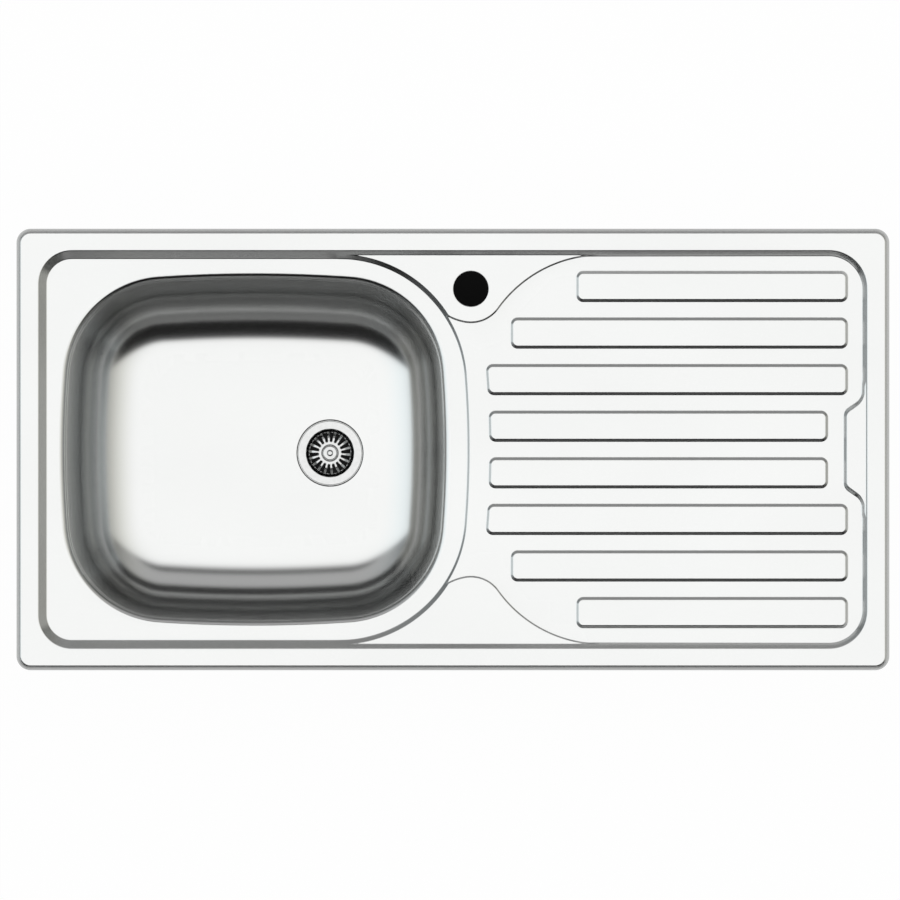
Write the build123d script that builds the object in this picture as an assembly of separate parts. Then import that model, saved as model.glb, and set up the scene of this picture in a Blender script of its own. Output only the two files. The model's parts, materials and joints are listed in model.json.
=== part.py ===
from build123d import *
from math import atan2, cos, degrees, hypot, pi, radians, sin, sqrt, tan
import os

# Inset kitchen sink with one bowl and a drainer, pressed from stainless sheet. Millimetres.
# The origin is the middle of the outline, on the worktop that the rim rests on.
# +X runs from the bowl to the drainer, +Y to the back edge with the tap hole, +Z is up.

# --- rim and outline -------------------------------------------------------------------
sink_length = 860.0
sink_width = 435.0
outline_corner_r = 14.0
sheet = 0.7                 # stainless sheet
rim_height = 5.0            # top of the rim above the worktop
edge_bevel = 4.4            # sloped outer edge, as wide as it is high
rim_width = 21.5            # outer edge to the top of the recess wall
press_slope = 45.0          # lean of every pressed wall from upright, in degrees

# --- levels of the pressed recess, all below the top of the rim ------------------------
tap_ledge_drop = 4.4
ledge_drop = 8.0            # ledge round the bowl
drainer_drop = 5.2          # drainer floor at its outer end
drainer_fall = 0.6          # further fall of the drainer floor where it meets the ledge
plain_pad_drop = 1.8        # bare raised pad at the outer end of the drainer

# --- recess outline --------------------------------------------------------------------
recess_bowl_end_r = 33.0    # recess corners at rim level, bowl end
recess_drainer_end_r = 38.0
ledge_side_gap = 19.0       # bowl mouth to the ledge's edge, on the centre line
ledge_side_r = 952.0        # slow bulge of that edge
ledge_corner_r = 124.5

# --- bowl ------------------------------------------------------------------------------
bowl_half_length = 190.7
bowl_end_gap = 22.1         # recess wall to the bowl's mouth, at the left
bowl_side_gap = 22.2        # the same at front and back
bowl_corner_r = 100.5
bowl_end_bulge_r = 990.0
bowl_side_bulge_r = 1402.0
bowl_depth = 150.0          # ledge to bowl floor
bowl_draft = 10.0
bowl_floor_r = 60.0
mouth_edge_r = 3.0          # rolled edge where the ledge turns down into the bowl
lip_drop = 6.0              # the turned-down lip that the bowl is welded to
ledge_margin = 12.0         # outlines that end over the ledge run this far past its edge
well_inset = 10.0           # everything deeper than the worktop lies this far inside the outline

# --- tap ledge -------------------------------------------------------------------------
tap_hole_r = 17.5
tap_hole_side = 3.7         # from the ledge's edge line towards the drainer
tap_hole_gap = 37.7         # recess wall to the middle of the hole
tap_pad_r = 33.7            # rounded end of the tap ledge, round the tap hole
tap_sweep_r = 125.0         # sweep from that end out to the recess wall
sweep_overrun = 0.8         # the sweep runs this far into the wall
pad_flank_turn = 75.0       # where the tap ledge's plan crosses the ledge, in degrees

# --- drainer ribs ----------------------------------------------------------------------
rib_count = 8
rib_width = 30.5
rib_side_gap = 20.1         # outermost ribs to the recess wall
rib_height = 1.5
rib_corner_r = 7.0
rib_root = 0.4              # rib walls start this far under the drainer floor
rib_end_gap = 19.2          # recess wall to the outer ends of the ribs
short_rib_end_gap = 38.8    # the two middle ribs stop short of the bare pad
rib_ledge_gap = 21.6        # the four middle ribs start this far from the ledge edge
third_rib_start = 42.8      # the next ones and the outermost, from the ledge's edge line
outer_rib_start = 107.4
pad_edge_gap = 22.5         # recess wall to the bare pad's edge
pad_half_face = 36.0        # straight part of the pad's edge
pad_half_root = 55.0        # where its slanted sides reach the recess wall
pad_corner_r = 7.0
pad_root = 1.5              # the pad runs this far into the recess wall

# --- rim seal and mounting rails -------------------------------------------------------
seal_inset = 5.0
seal_width = 4.6
seal_inner_r = 6.0
rail_inset = 17.0           # outer edge to the middle of the rail web
rail_sheet = 0.8
rail_flange = 6.2
bead_r = 1.6
bead_drop = 9.0             # bead centre below the worktop
window_length = 18.0
window_top = 4.5            # above the bead centre
long_rail_gap = 80.0        # ends of the rails, from the ends of the sink
end_rail_gap = 97.5
clip_end_gap = 50.0         # outer clips, from the ends of a long rail

# --- clips -----------------------------------------------------------------------------
clip_sheet = 1.2
knuckle_gap = 0.05          # running clearance on the bead
knuckle_width = 14.0
knuckle_end = -100.0        # where the curl stops, in degrees
hanger_width = 16.0
hanger_length = 44.0
hanger_neck = 6.0
hanger_flare = 2.0
hanger_reach = 5.5          # side flanges, outward from the bead centre
shelf_drop = 24.3           # underside of the threaded shelf
shelf_side_gap = 0.3
shelf_collar_wall = 1.05
shelf_collar = 2.0
screw_y = 3.2
screw_r = 2.5
screw_gap = 0.05
screw_length = 22.9
screw_head_lip = 1.5        # head beyond the shank
screw_head = 2.6
screw_slot = 1.2
claw_sheet = 2.5
claw_drop = 41.0            # top of the claw's base plate below the bead centre
claw_half_width = 6.3
claw_heel = 4.4             # from the screw's axis back towards the bowl
claw_knee = 3.8             # and out to the bend
claw_reach = 11.8
claw_rise = 8.0
claw_tooth = 1.4
tooth_pitch = 2.6

# --- waste -----------------------------------------------------------------------------
waste_from_bowl = (73.3, -3.5)
cup_r = 23.6
cup_wall = 0.8
waste_hole_gap = 2.1        # cup to the hole in the bowl
dish_gap = 1.3              # flange to the wall of its sunken seat in the bowl floor
dish_drop = 1.6
flange_width = 8.1          # beyond the cup's bore
flange_sheet = 1.0
flange_lip = 0.4            # softened edges
flange_seal_t = 1.0
cup_depth = 15.0
cup_well_r = 9.0
cup_well_drop = 3.0
window_inner_gap = 2.0      # water windows, from the cup's well
window_outer_gap = 4.1      # and from its bore
window_count = 6
window_share = 0.7          # share of each sixth that is open
body_seal_t = 1.5
body_collar_width = 4.5
body_wall = 3.0
body_drop = 22.0            # collar to shoulder
spigot_r = 23.9             # 1 1/2 inch outlet
spigot_wall = 3.0
spigot_length = 26.0
spider_depth = 10.0
spider_arms = 3
spider_arm = 3.0
spider_hub_r = 8.0
insert_r = 5.5
insert_length = 9.0
insert_drop = 8.0           # under the cup's well
bolt_r = 4.0
bolt_gap = 0.03
bolt_head_r = 7.0
bolt_head = 2.2
bolt_length = 19.0

# --- stopper strainer ------------------------------------------------------------------
strainer_sheet = 1.0
strainer_top = 1.4          # hub plate above the flange
hub_r = 10.35
hub_step = 0.6
crown_gap = 2.1             # crown and stopper to the cup's bore
crown_fall = 4.5
skirt = 4.0
slot_count = 18
slot_first = 5.0            # degrees
slot_open = 10.0            # degrees of each 20
slot_inner_gap = 0.95       # slots, from the hub
slot_outer_gap = 0.3        # and from the crown's rim
knob_r = 7.2
knob_height = 6.0
knob_waist_r = 4.6
knob_edge = 0.8
dimple_r = 2.4
dimple_drop = 1.0
stem_r = 2.45
stem_gap = 0.05
stem_tip = 0.5
stem_end_gap = 1.0
stem_entry = 10.0           # stem inside the bolt at rest
plug_t = 2.5

# --- sound-deadening pad ---------------------------------------------------------------
pad_from_bowl = -40.3
pad_length = 116.0
pad_width = 150.0
pad_t = 2.0
pad_r = 12.0

# --- worked-out sizes ------------------------------------------------------------------
half_length = sink_length / 2
half_width = sink_width / 2
recess_half_length = half_length - rim_width
recess_half_width = half_width - rim_width
bowl_x = bowl_half_length + bowl_end_gap - recess_half_length
bowl_half_width = recess_half_width - bowl_side_gap
ledge_side_x = bowl_x + bowl_half_length + ledge_side_gap
tap_hole_x = ledge_side_x + tap_hole_side
tap_hole_y = recess_half_width - tap_hole_gap
rib_pitch = (recess_half_width - rib_side_gap - rib_width / 2) * 2 / (rib_count - 1)
pad_edge_x = recess_half_length - pad_edge_gap
ledge_z = rim_height - ledge_drop
tap_ledge_z = rim_height - tap_ledge_drop
deep_field_z = rim_height - drainer_drop - drainer_fall
lip_z = ledge_z - lip_drop
floor_z = ledge_z - bowl_depth
bend_shift = tan(radians(press_slope / 2))      # how far a bend line moves per unit of thickness
rim_under_z = rim_height - sheet
bead_z = -bead_drop
dish_z = floor_z - dish_drop
flange_z = dish_z + flange_seal_t               # underside of the waste flange
cup_floor_z = flange_z - cup_depth
well_z = cup_floor_z - cup_well_drop
body_top_z = dish_z - sheet - body_seal_t
shoulder_z = body_top_z - body_drop
insert_top_z = well_z - insert_drop
waste_at = Pos(bowl_x + waste_from_bowl[0], waste_from_bowl[1], 0)
waste_hole_r = cup_r + cup_wall + waste_hole_gap
flange_r = cup_r + flange_width
dish_r = flange_r + dish_gap
body_bore_r = waste_hole_r
body_collar_r = body_bore_r + body_collar_width
crown_r = cup_r - crown_gap
plug_r = crown_r
screw_head_r = screw_r + screw_head_lip
over = 1.0                                      # cutters run this far past what they cut
same = 0.01                                     # heights closer than this are one level
FOOT = (Align.CENTER, Align.CENTER, Align.MIN)  # boxes and cylinders that stand on their place
FOOT_BACK = (Align.CENTER, Align.MIN, Align.MIN)
FOOT_SIDE = (Align.MIN, Align.CENTER, Align.MIN)


# --- outlines --------------------------------------------------------------------------
def rounded_outline(half_x, half_y, corner_r):
    return RectangleRounded(2 * half_x, 2 * half_y, corner_r)


def arc_edge(centre, radius, start, end):
    """Arc about `centre` from angle `start` to `end`, both in degrees."""
    return CenterArc(centre, radius, start, end - start)


def quarter_to_full(edges):
    """Close a first-quadrant chain of edges with its mirror images."""
    half = edges + [mirror(e, about=Plane.YZ) for e in edges]
    return make_face(half + [mirror(e, about=Plane.XZ) for e in half])


def bowl_outline():
    """Mouth of the bowl: four slowly bulging sides joined by large corners."""
    side = Vector(0, bowl_half_width - bowl_side_bulge_r)
    end = Vector(bowl_half_length - bowl_end_bulge_r, 0)
    to_side = bowl_side_bulge_r - bowl_corner_r
    to_end = bowl_end_bulge_r - bowl_corner_r
    span = hypot(end.X - side.X, end.Y - side.Y)
    along = (to_side ** 2 - to_end ** 2 + span ** 2) / (2 * span)
    across = sqrt(to_side ** 2 - along ** 2)
    ux, uy = (end.X - side.X) / span, (end.Y - side.Y) / span
    corner = Vector(side.X + along * ux - across * uy, side.Y + along * uy + across * ux)
    if corner.X < 0 or corner.Y < 0:
        corner = Vector(side.X + along * ux + across * uy, side.Y + along * uy - across * ux)
    end_turn = degrees(atan2(corner.Y - end.Y, corner.X - end.X))
    side_turn = degrees(atan2(corner.Y - side.Y, corner.X - side.X))
    quarter = [
        arc_edge(end, bowl_end_bulge_r, 0, end_turn),
        arc_edge(corner, bowl_corner_r, end_turn, side_turn),
        arc_edge(side, bowl_side_bulge_r, side_turn, 90),
    ]
    return Pos(bowl_x, 0) * quarter_to_full(quarter)


def recess_outline(depth):
    """Recess at a depth below the rim, where its sloped walls have come in that far."""
    step = depth * tan(radians(press_slope))
    outline = Rectangle(2 * (recess_half_length - step), 2 * (recess_half_width - step))
    corners = outline.vertices().sort_by(Axis.X)
    outline = fillet(corners[:2], recess_bowl_end_r - step)
    corners = outline.vertices().sort_by(Axis.X)
    return fillet(corners[-2:], recess_drainer_end_r - step)


def ledge_outline():
    """Ledge round the bowl: square to the recess on the left, rounded towards the drainer."""
    step = ledge_drop * tan(radians(press_slope))
    top = recess_half_width - step
    left = -recess_half_length + step
    side_x = ledge_side_x - ledge_side_r
    corner_y = top - ledge_corner_r
    corner_x = side_x + sqrt((ledge_side_r - ledge_corner_r) ** 2 - corner_y ** 2)
    turn = degrees(atan2(corner_y, corner_x - side_x))
    upper = [
        arc_edge((side_x, 0), ledge_side_r, 0, turn),
        arc_edge((corner_x, corner_y), ledge_corner_r, turn, 90),
        Line((corner_x, top), (left, top)),
        Line((left, top), (left, 0)),
    ]
    outline = make_face(upper + [mirror(e, about=Plane.XZ) for e in upper])
    corners = [v for v in outline.vertices() if v.X < left + 1 and abs(v.Y) > 1]
    return fillet(corners, recess_bowl_end_r - step)


def ledge_corner():
    """Centre of the ledge's rounded corner on the tap side."""
    corner_y = recess_half_width - ledge_drop * tan(radians(press_slope)) - ledge_corner_r
    side_x = ledge_side_x - ledge_side_r
    return Vector(side_x + sqrt((ledge_side_r - ledge_corner_r) ** 2 - corner_y ** 2), corner_y)


def tap_pad_outline():
    """Plan of the tap ledge where it stands above the drainer floor."""
    tap = Vector(tap_hole_x, tap_hole_y)
    floor_wall_y = recess_half_width - (rim_height - deep_field_z)
    sweep_y = floor_wall_y + sweep_overrun - tap_sweep_r
    reach = tap_pad_r + tap_sweep_r
    sweep = Vector(tap.X + sqrt(reach ** 2 - (tap.Y - sweep_y) ** 2), sweep_y)
    to_sweep = (sweep - tap).normalized()
    to_ledge = (ledge_corner() - tap).normalized()
    neck = tap + to_ledge * tap_pad_r
    tip = tap + (to_ledge + to_sweep).normalized() * tap_pad_r
    joint = tap + to_sweep * tap_pad_r
    crest = sweep + Vector(0, tap_sweep_r)
    flank = sweep + (crest + joint - sweep * 2).normalized() * tap_sweep_r
    inside = neck + to_ledge * ledge_margin
    far = ledge_corner() + Vector(ledge_corner_r - ledge_margin, 0).rotate(
        Axis.Z, pad_flank_turn
    )
    return make_face([
        ThreePointArc(neck, tip, joint),
        ThreePointArc(joint, flank, crest),
        Polyline(crest, (crest.X, half_width), (far.X, half_width), far, inside, neck),
    ])


def drainer_outline():
    """Drainer floor at its deepest level, between the ledge, both pads and the recess wall."""
    start_x = ledge_corner().X + ledge_margin
    keep = Pos(start_x + half_length, 0) * Rectangle(2 * half_length, sink_width)
    pad = tap_pad_outline()
    return recess_outline(rim_height - deep_field_z) & keep - pad - mirror(pad, about=Plane.XZ)


def ledge_edge_x(y):
    """X of the ledge's drainer-side edge at a given Y."""
    return ledge_side_x - ledge_side_r + sqrt(ledge_side_r ** 2 - y ** 2)


def rib_outline(index):
    """Rib number 0 to 7, from the front of the drainer to the back, at the drainer floor."""
    row = index - (rib_count - 1) / 2
    low, high = row * rib_pitch - rib_width / 2, row * rib_pitch + rib_width / 2
    place = int(abs(row))
    end_x = recess_half_length - (short_rib_end_gap if place == 0 else rib_end_gap)
    if place < 2:
        low_x, high_x = (ledge_edge_x(y) + rib_ledge_gap for y in (low, high))
    else:
        low_x = high_x = ledge_side_x + (third_rib_start if place == 2 else outer_rib_start)
    outline = make_face(Polyline(
        (low_x, low), (end_x, low), (end_x, high), (high_x, high), (low_x, low)
    ))
    return fillet(outline.vertices(), rib_corner_r)


def bare_pad_outline():
    """Top of the bare raised pad at the outer end of the drainer."""
    root_x = recess_half_length
    back_x = root_x + pad_root
    outline = make_face(Polyline(
        (pad_edge_x, -pad_half_face), (root_x, -pad_half_root), (back_x, -pad_half_root),
        (back_x, pad_half_root), (root_x, pad_half_root), (pad_edge_x, pad_half_face),
        (pad_edge_x, -pad_half_face),
    ))
    return fillet([v for v in outline.vertices() if v.X < pad_edge_x + 1], pad_corner_r)


# --- solids with sloped walls ----------------------------------------------------------
def raised(outline, z, height, slope=press_slope):
    """Standing on `outline` at z, with walls that lean in as they rise."""
    return Pos(0, 0, z) * extrude(outline, height, taper=slope)


def sunk(outline, z, height, slope=press_slope):
    """Cutter with `outline` as its floor at z, its walls leaning out as they rise."""
    mouth = offset(outline, height * tan(radians(slope)), kind=Kind.INTERSECTION)
    return tub(mouth, z + height, height, slope)


def tub(outline, z, depth, slope):
    """Cutter with `outline` as its mouth at z, its walls leaning in as it goes down."""
    return Pos(0, 0, z) * mirror(extrude(outline, depth, taper=slope), about=Plane.XY)


# --- pressed deck ----------------------------------------------------------------------
def drainer_place(lower):
    """Place of the drainer floor, which falls gently towards the ledge."""
    low_x = tap_hole_x - tap_pad_r
    angle = degrees(atan2(drainer_fall, recess_half_length - low_x))
    return Pos(low_x, 0, deep_field_z - lower) * Rot(0, -angle, 0) * Pos(-low_x, 0, 0)


def pressed_block(lower, margin):
    """Solid under the pressed surface with each face moved in by `lower`, square to itself."""
    shift = bend_shift * lower
    foot = rim_height - edge_bevel - shift
    base = rounded_outline(half_length - lower, half_width - lower, outline_corner_r - lower)
    block = Pos(0, 0, -margin) * extrude(base, foot + margin)
    block += raised(base, foot, rim_height - lower - foot)
    well = rounded_outline(
        half_length - well_inset + margin, half_width - well_inset + margin, recess_bowl_end_r
    )
    block += Pos(0, 0, lip_z - margin) * extrude(well, foot - lip_z + margin)

    tap_floor = offset(recess_outline(tap_ledge_drop), shift)
    block -= sunk(tap_floor, tap_ledge_z - lower, tap_ledge_drop + over)
    field = sunk(
        offset(drainer_outline(), shift), deep_field_z - lower, rim_height - deep_field_z + over
    )
    above = drainer_place(lower) * Pos(0, 0, rim_height) * Box(
        2 * sink_length, 2 * sink_width, 2 * rim_height
    )
    block -= field & above
    block -= sunk(offset(ledge_outline(), shift), ledge_z - lower, ledge_drop + over)
    for index in range(rib_count):
        foot_outline = offset(rib_outline(index), rib_root - shift)
        rib = drainer_place(lower) * raised(foot_outline, -rib_root, rib_height + rib_root)
        block += rib
    pad_top = rim_height - plain_pad_drop - lower
    pad_rise = drainer_drop + drainer_fall
    block += raised(offset(bare_pad_outline(), pad_rise - shift), pad_top - pad_rise, pad_rise)
    return block


def mouth_edges(block, z):
    """Edges where the bowl's mouth meets the ledge at height z."""
    near = bowl_half_length + 2 * sheet
    flat = [e for e in block.edges() if abs(e.center().Z - z) < same]
    boxes = [(e, e.bounding_box()) for e in flat]
    return [
        e for e, box in boxes
        if box.size.Z < same and abs(box.min.X - bowl_x) < near and abs(box.max.X - bowl_x) < near
    ]


def bowl_mouth(thickness):
    """Mouth of the bowl, moved out by a sheet thickness measured square to the drafted wall."""
    outline = bowl_outline()
    return offset(outline, thickness / cos(radians(bowl_draft))) if thickness else outline


def build_deck():
    """One pressed sheet: bevelled rim, recess, ledges, drainer with ribs, and the bowl's lip."""
    blocks = []
    for lower, margin in ((0.0, 0.0), (sheet, over)):
        block = pressed_block(lower, margin)
        block -= tub(bowl_mouth(lower), ledge_z, lip_drop + 2 * margin, bowl_draft)
        blocks.append(fillet(mouth_edges(block, ledge_z - lower), mouth_edge_r - lower))
    hole = Pos(tap_hole_x, tap_hole_y, 0) * Cylinder(tap_hole_r, 4 * rim_height)
    return blocks[0] - blocks[1] - hole


# --- bowl ------------------------------------------------------------------------------
def bowl_form(thickness):
    """Drawn form of the bowl, grown by a thickness all over, with its sunken waste seat."""
    form = tub(bowl_mouth(thickness), ledge_z, bowl_depth + thickness, bowl_draft)
    form = fillet(form.edges().group_by(Axis.Z)[0], bowl_floor_r + thickness)
    seat = Cylinder(dish_r + thickness, dish_drop + bowl_floor_r / 2, align=FOOT)
    return form + waste_at * Pos(0, 0, dish_z - thickness) * seat


def build_bowl():
    """Deep-drawn bowl, welded edge to edge under the lip."""
    bowl = bowl_form(sheet) - bowl_form(0.0)
    trim = Pos(bowl_x, 0, lip_z) * Box(
        3 * bowl_half_length, 3 * bowl_half_width, bowl_depth, align=FOOT
    )
    return bowl - trim - waste_at * Pos(0, 0, dish_z) * Cylinder(waste_hole_r, 4 * dish_drop)


def build_sound_pad():
    """Bitumen pad stuck under the bowl floor."""
    pad = RectangleRounded(pad_length, pad_width, pad_r)
    return Pos(bowl_x + pad_from_bowl, 0, floor_z - sheet - pad_t) * extrude(pad, pad_t)


# --- rim seal and mounting rails -------------------------------------------------------
def build_rim_seal():
    """Closed foam strip between the rim and the worktop."""
    corner_r = outline_corner_r - seal_inset
    outer = rounded_outline(half_length - seal_inset, half_width - seal_inset, corner_r)
    inset = seal_inset + seal_width
    inner = rounded_outline(half_length - inset, half_width - inset, seal_inner_r)
    return extrude(outer - inner, rim_under_z)


def build_rail(length, clip_places):
    """Mounting rail along X with the bead's centre as origin and the worktop on the +Y side."""
    rim_under = rim_under_z - bead_z
    flange = Pos(0, -rail_sheet / 2, rim_under - rail_sheet) * Box(
        length, rail_sheet + rail_flange, rail_sheet, align=FOOT_BACK
    )
    web = Box(length, rail_sheet, rim_under, align=FOOT)
    for x in clip_places:
        web -= Pos(x, 0, -bead_r) * Box(
            window_length, 4 * rail_sheet, window_top + bead_r, align=FOOT
        )
    bead = Rot(0, 90, 0) * Cylinder(bead_r, length)
    return flange + web + bead


# --- clips: each in its own frame, bead centre as origin, worktop on the +Y side --------
def extrude_along_x(profile, width):
    """Solid from a profile drawn as (y, z), spread evenly about x = 0."""
    return Pos(-width / 2, 0, 0) * extrude(Plane.YZ * profile, width)


def build_hanger():
    """Sheet hanger: a curl round the bead, a channel, and a threaded shelf for the screw."""
    inner = bead_r + knuckle_gap
    outer = inner + clip_sheet
    middle = (inner + outer) / 2
    curl_path = CenterArc((0, 0), middle, 180, knuckle_end - 180)
    curl = trace(curl_path, line_width=clip_sheet)
    neck_length = hanger_neck + clip_sheet
    neck = Pos(-middle, -neck_length / 2) * Rectangle(clip_sheet, neck_length)
    hanger = extrude_along_x(curl + neck, knuckle_width)
    back = Pos(0, -middle, -hanger_length) * Box(
        hanger_width, clip_sheet, hanger_length - hanger_neck, align=FOOT
    )
    hanger += back
    side = make_face(Polyline(
        (-outer, -hanger_neck), (hanger_reach - hanger_flare, -hanger_neck),
        (hanger_reach, -hanger_neck - hanger_flare), (hanger_reach, -hanger_length),
        (-outer, -hanger_length), (-outer, -hanger_neck),
    ))
    for x in (-1, 1):
        hanger += Pos(x * (hanger_width - clip_sheet) / 2, 0, 0) * extrude_along_x(side, clip_sheet)
    shelf_width = hanger_width - 2 * clip_sheet - 2 * shelf_side_gap
    shelf = Pos(0, -middle, -shelf_drop) * Box(
        shelf_width, hanger_reach + middle, clip_sheet, align=FOOT_BACK
    )
    bore_r = screw_r + screw_gap
    collar_height = clip_sheet + shelf_collar
    collar = Pos(0, screw_y, -shelf_drop) * Cylinder(
        bore_r + shelf_collar_wall, collar_height, align=FOOT
    )
    bore = Pos(0, screw_y, -shelf_drop) * Cylinder(bore_r, 3 * collar_height)
    return hanger + shelf + collar - bore


def build_claw():
    """Pressed claw that rides on the screw head and bites the underside of the worktop."""
    base, foot = -claw_drop, -claw_drop - claw_sheet
    tip = base + claw_rise
    heel, knee, reach = screw_y - claw_heel, screw_y + claw_knee, screw_y + claw_reach
    profile = make_face(Polyline(
        (heel, foot), (knee + claw_sheet / 2, foot), (reach, tip - claw_sheet - claw_tooth),
        (reach, tip), (reach - tooth_pitch / 2, tip - claw_tooth), (reach - tooth_pitch, tip),
        (reach - 1.5 * tooth_pitch, tip - claw_tooth), (knee, base), (heel, base), (heel, foot),
    ))
    claw = extrude_along_x(profile, 2 * claw_half_width)
    return claw - Pos(0, screw_y, foot) * Cylinder(screw_r + screw_gap, 4 * claw_sheet)


def build_screw():
    """Slotted clamping screw, head down; its tip stands just above the shelf's collar."""
    head_top = -claw_drop - claw_sheet
    shank = Pos(0, screw_y, head_top) * Cylinder(screw_r, screw_length, align=FOOT)
    shank = chamfer(shank.edges().group_by(Axis.Z)[-1], screw_r / 4)
    head = Pos(0, screw_y, head_top - screw_head) * Cylinder(screw_head_r, screw_head, align=FOOT)
    head = chamfer(head.edges().group_by(Axis.Z)[0], screw_head / 3)
    slot = Pos(0, screw_y, head_top - screw_head) * Box(3 * screw_head_r, screw_slot, screw_slot)
    return shank + head - slot


def rail_frames():
    """Each rail as its name, bead frame, length and clip places."""
    front_y = half_width - rail_inset
    end_x = half_length - rail_inset
    long_rail = sink_length - 2 * long_rail_gap
    end_rail = sink_width - 2 * end_rail_gap
    outer_clip = long_rail / 2 - clip_end_gap
    long_clips = (-outer_clip, 0.0, outer_clip)
    return [
        ("front", Pos(0, -front_y, bead_z) * Rot(0, 0, 180), long_rail, long_clips),
        ("back", Pos(0, front_y, bead_z), long_rail, long_clips),
        ("left", Pos(-end_x, 0, bead_z) * Rot(0, 0, 90), end_rail, (0.0,)),
        ("right", Pos(end_x, 0, bead_z) * Rot(0, 0, -90), end_rail, (0.0,)),
    ]


# --- waste -----------------------------------------------------------------------------
def spun(points):
    """Solid of revolution about Z from a closed (r, z) outline."""
    return revolve(Plane.XZ * make_face(Polyline(*points, points[0])), Axis.Z)


def ring_piece(outer_r, inner_r, z, height):
    return Pos(0, 0, z) * extrude(Circle(outer_r) - Circle(inner_r), height)


def radial_slot(r_in, r_out, turn, open_angle, z, height):
    """Cutter between two radii and two radial sides, centred on `turn` degrees."""
    first, last = radians(turn - open_angle / 2), radians(turn + open_angle / 2)
    middle = radians(turn)
    corners = [Vector(r * cos(a), r * sin(a)) for r, a in (
        (r_in, first), (r_out, first), (r_out, last), (r_in, last)
    )]
    outline = make_face([
        Line(corners[0], corners[1]),
        ThreePointArc(corners[1], (r_out * cos(middle), r_out * sin(middle)), corners[2]),
        Line(corners[2], corners[3]),
        ThreePointArc(corners[3], (r_in * cos(middle), r_in * sin(middle)), corners[0]),
    ])
    return Pos(0, 0, z) * extrude(outline, height)


def build_waste_flange():
    """Stainless flange with its cup, water windows and sunken seat for the bolt head."""
    top = flange_z + flange_sheet
    cup_out = cup_r + cup_wall
    under = cup_floor_z - flange_sheet
    cup = spun([
        (cup_r, cup_floor_z), (cup_r, top - flange_lip), (cup_r + flange_lip, top),
        (flange_r - flange_lip, top), (flange_r, top - flange_lip), (flange_r, flange_z),
        (cup_out, flange_z), (cup_out, under),
        (cup_well_r + cup_wall, under), (cup_well_r + cup_wall, well_z - flange_sheet),
        (bolt_r + bolt_gap, well_z - flange_sheet), (bolt_r + bolt_gap, well_z),
        (cup_well_r, well_z), (cup_well_r, cup_floor_z),
    ])
    for index in range(window_count):
        pitch = 360 / window_count
        cup -= radial_slot(
            cup_well_r + window_inner_gap, cup_r - window_outer_gap, index * pitch,
            pitch * window_share,
            under - over, flange_sheet + 2 * over
        )
    return waste_at * cup


def build_flange_seal():
    """Rubber ring between the flange and its sunken seat."""
    inner_r = waste_hole_r + flange_lip
    return waste_at * ring_piece(flange_r - flange_lip, inner_r, dish_z, flange_seal_t)


def build_body_seal():
    """Rubber ring between the bowl and the waste body."""
    return waste_at * ring_piece(body_collar_r, waste_hole_r + flange_lip, body_top_z, body_seal_t)


def build_waste_body():
    """Moulded body: collar, chamber, outlet spigot and the spider that holds the insert."""
    chamber_r = body_bore_r + body_wall
    spigot_in = spigot_r - spigot_wall
    spigot_end = shoulder_z - spigot_length
    body = spun([
        (body_bore_r, body_top_z), (body_collar_r, body_top_z),
        (body_collar_r, body_top_z - body_wall),
        (chamber_r, body_top_z - body_wall - (body_collar_r - chamber_r)),
        (chamber_r, shoulder_z + body_wall),
        (spigot_r, shoulder_z), (spigot_r, spigot_end), (spigot_in, spigot_end),
        (spigot_in, shoulder_z + body_wall), (body_bore_r, shoulder_z + 2 * body_wall),
    ])
    spider_z = insert_top_z - spider_depth
    hub = ring_piece(spider_hub_r, insert_r, spider_z, spider_depth)
    for index in range(spider_arms):
        arm = Pos(spider_hub_r - over, 0, spider_z) * Box(
            spigot_r - spider_hub_r + over, spider_arm, spider_depth, align=FOOT_SIDE
        )
        hub += Rot(0, 0, (index + 0.5) * 360 / spider_arms) * arm
    outside = ring_piece(
        2 * spigot_r, spigot_r - spigot_wall / 2, spider_z - over, spider_depth + 2 * over
    )
    return waste_at * (body + (hub - outside))


def build_insert():
    """Brass nut moulded into the spider."""
    foot_z = insert_top_z - insert_length
    return waste_at * ring_piece(insert_r, bolt_r + bolt_gap, foot_z, insert_length)


def build_centre_bolt():
    """Bolt that draws flange and body together; its plain bore guides the strainer's stem."""
    head_top = well_z + bolt_head
    bore = Pos(0, 0, head_top) * Cylinder(stem_r + stem_gap, 2 * (stem_entry + stem_end_gap))
    shank = Pos(0, 0, well_z - bolt_length) * Cylinder(bolt_r, bolt_length, align=FOOT)
    shank = chamfer(shank.edges().group_by(Axis.Z)[0], bolt_r / 8)
    head = Pos(0, 0, well_z) * extrude(RegularPolygon(bolt_head_r, 6), bolt_head)
    return waste_at * (shank + head - bore)


# --- stopper strainer ------------------------------------------------------------------
def build_strainer():
    """Pressed crown: flat hub, slotted slope and a short skirt inside the cup."""
    top = flange_z + flange_sheet + strainer_top
    brim = top - crown_fall
    crown = spun([
        (stem_r, top), (hub_r, top), (hub_r + hub_step, top - hub_step), (crown_r, brim),
        (crown_r, brim - skirt), (crown_r - strainer_sheet, brim - skirt),
        (crown_r - strainer_sheet, brim - strainer_sheet / 2),
        (hub_r, top - hub_step - strainer_sheet), (hub_r - hub_step, top - strainer_sheet),
        (stem_r, top - strainer_sheet),
    ])
    for index in range(slot_count):
        crown -= radial_slot(
            hub_r + slot_inner_gap, crown_r - slot_outer_gap,
            slot_first + index * 360 / slot_count, slot_open,
            brim - skirt / 2, crown_fall + skirt
        )
    return waste_at * crown


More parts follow.
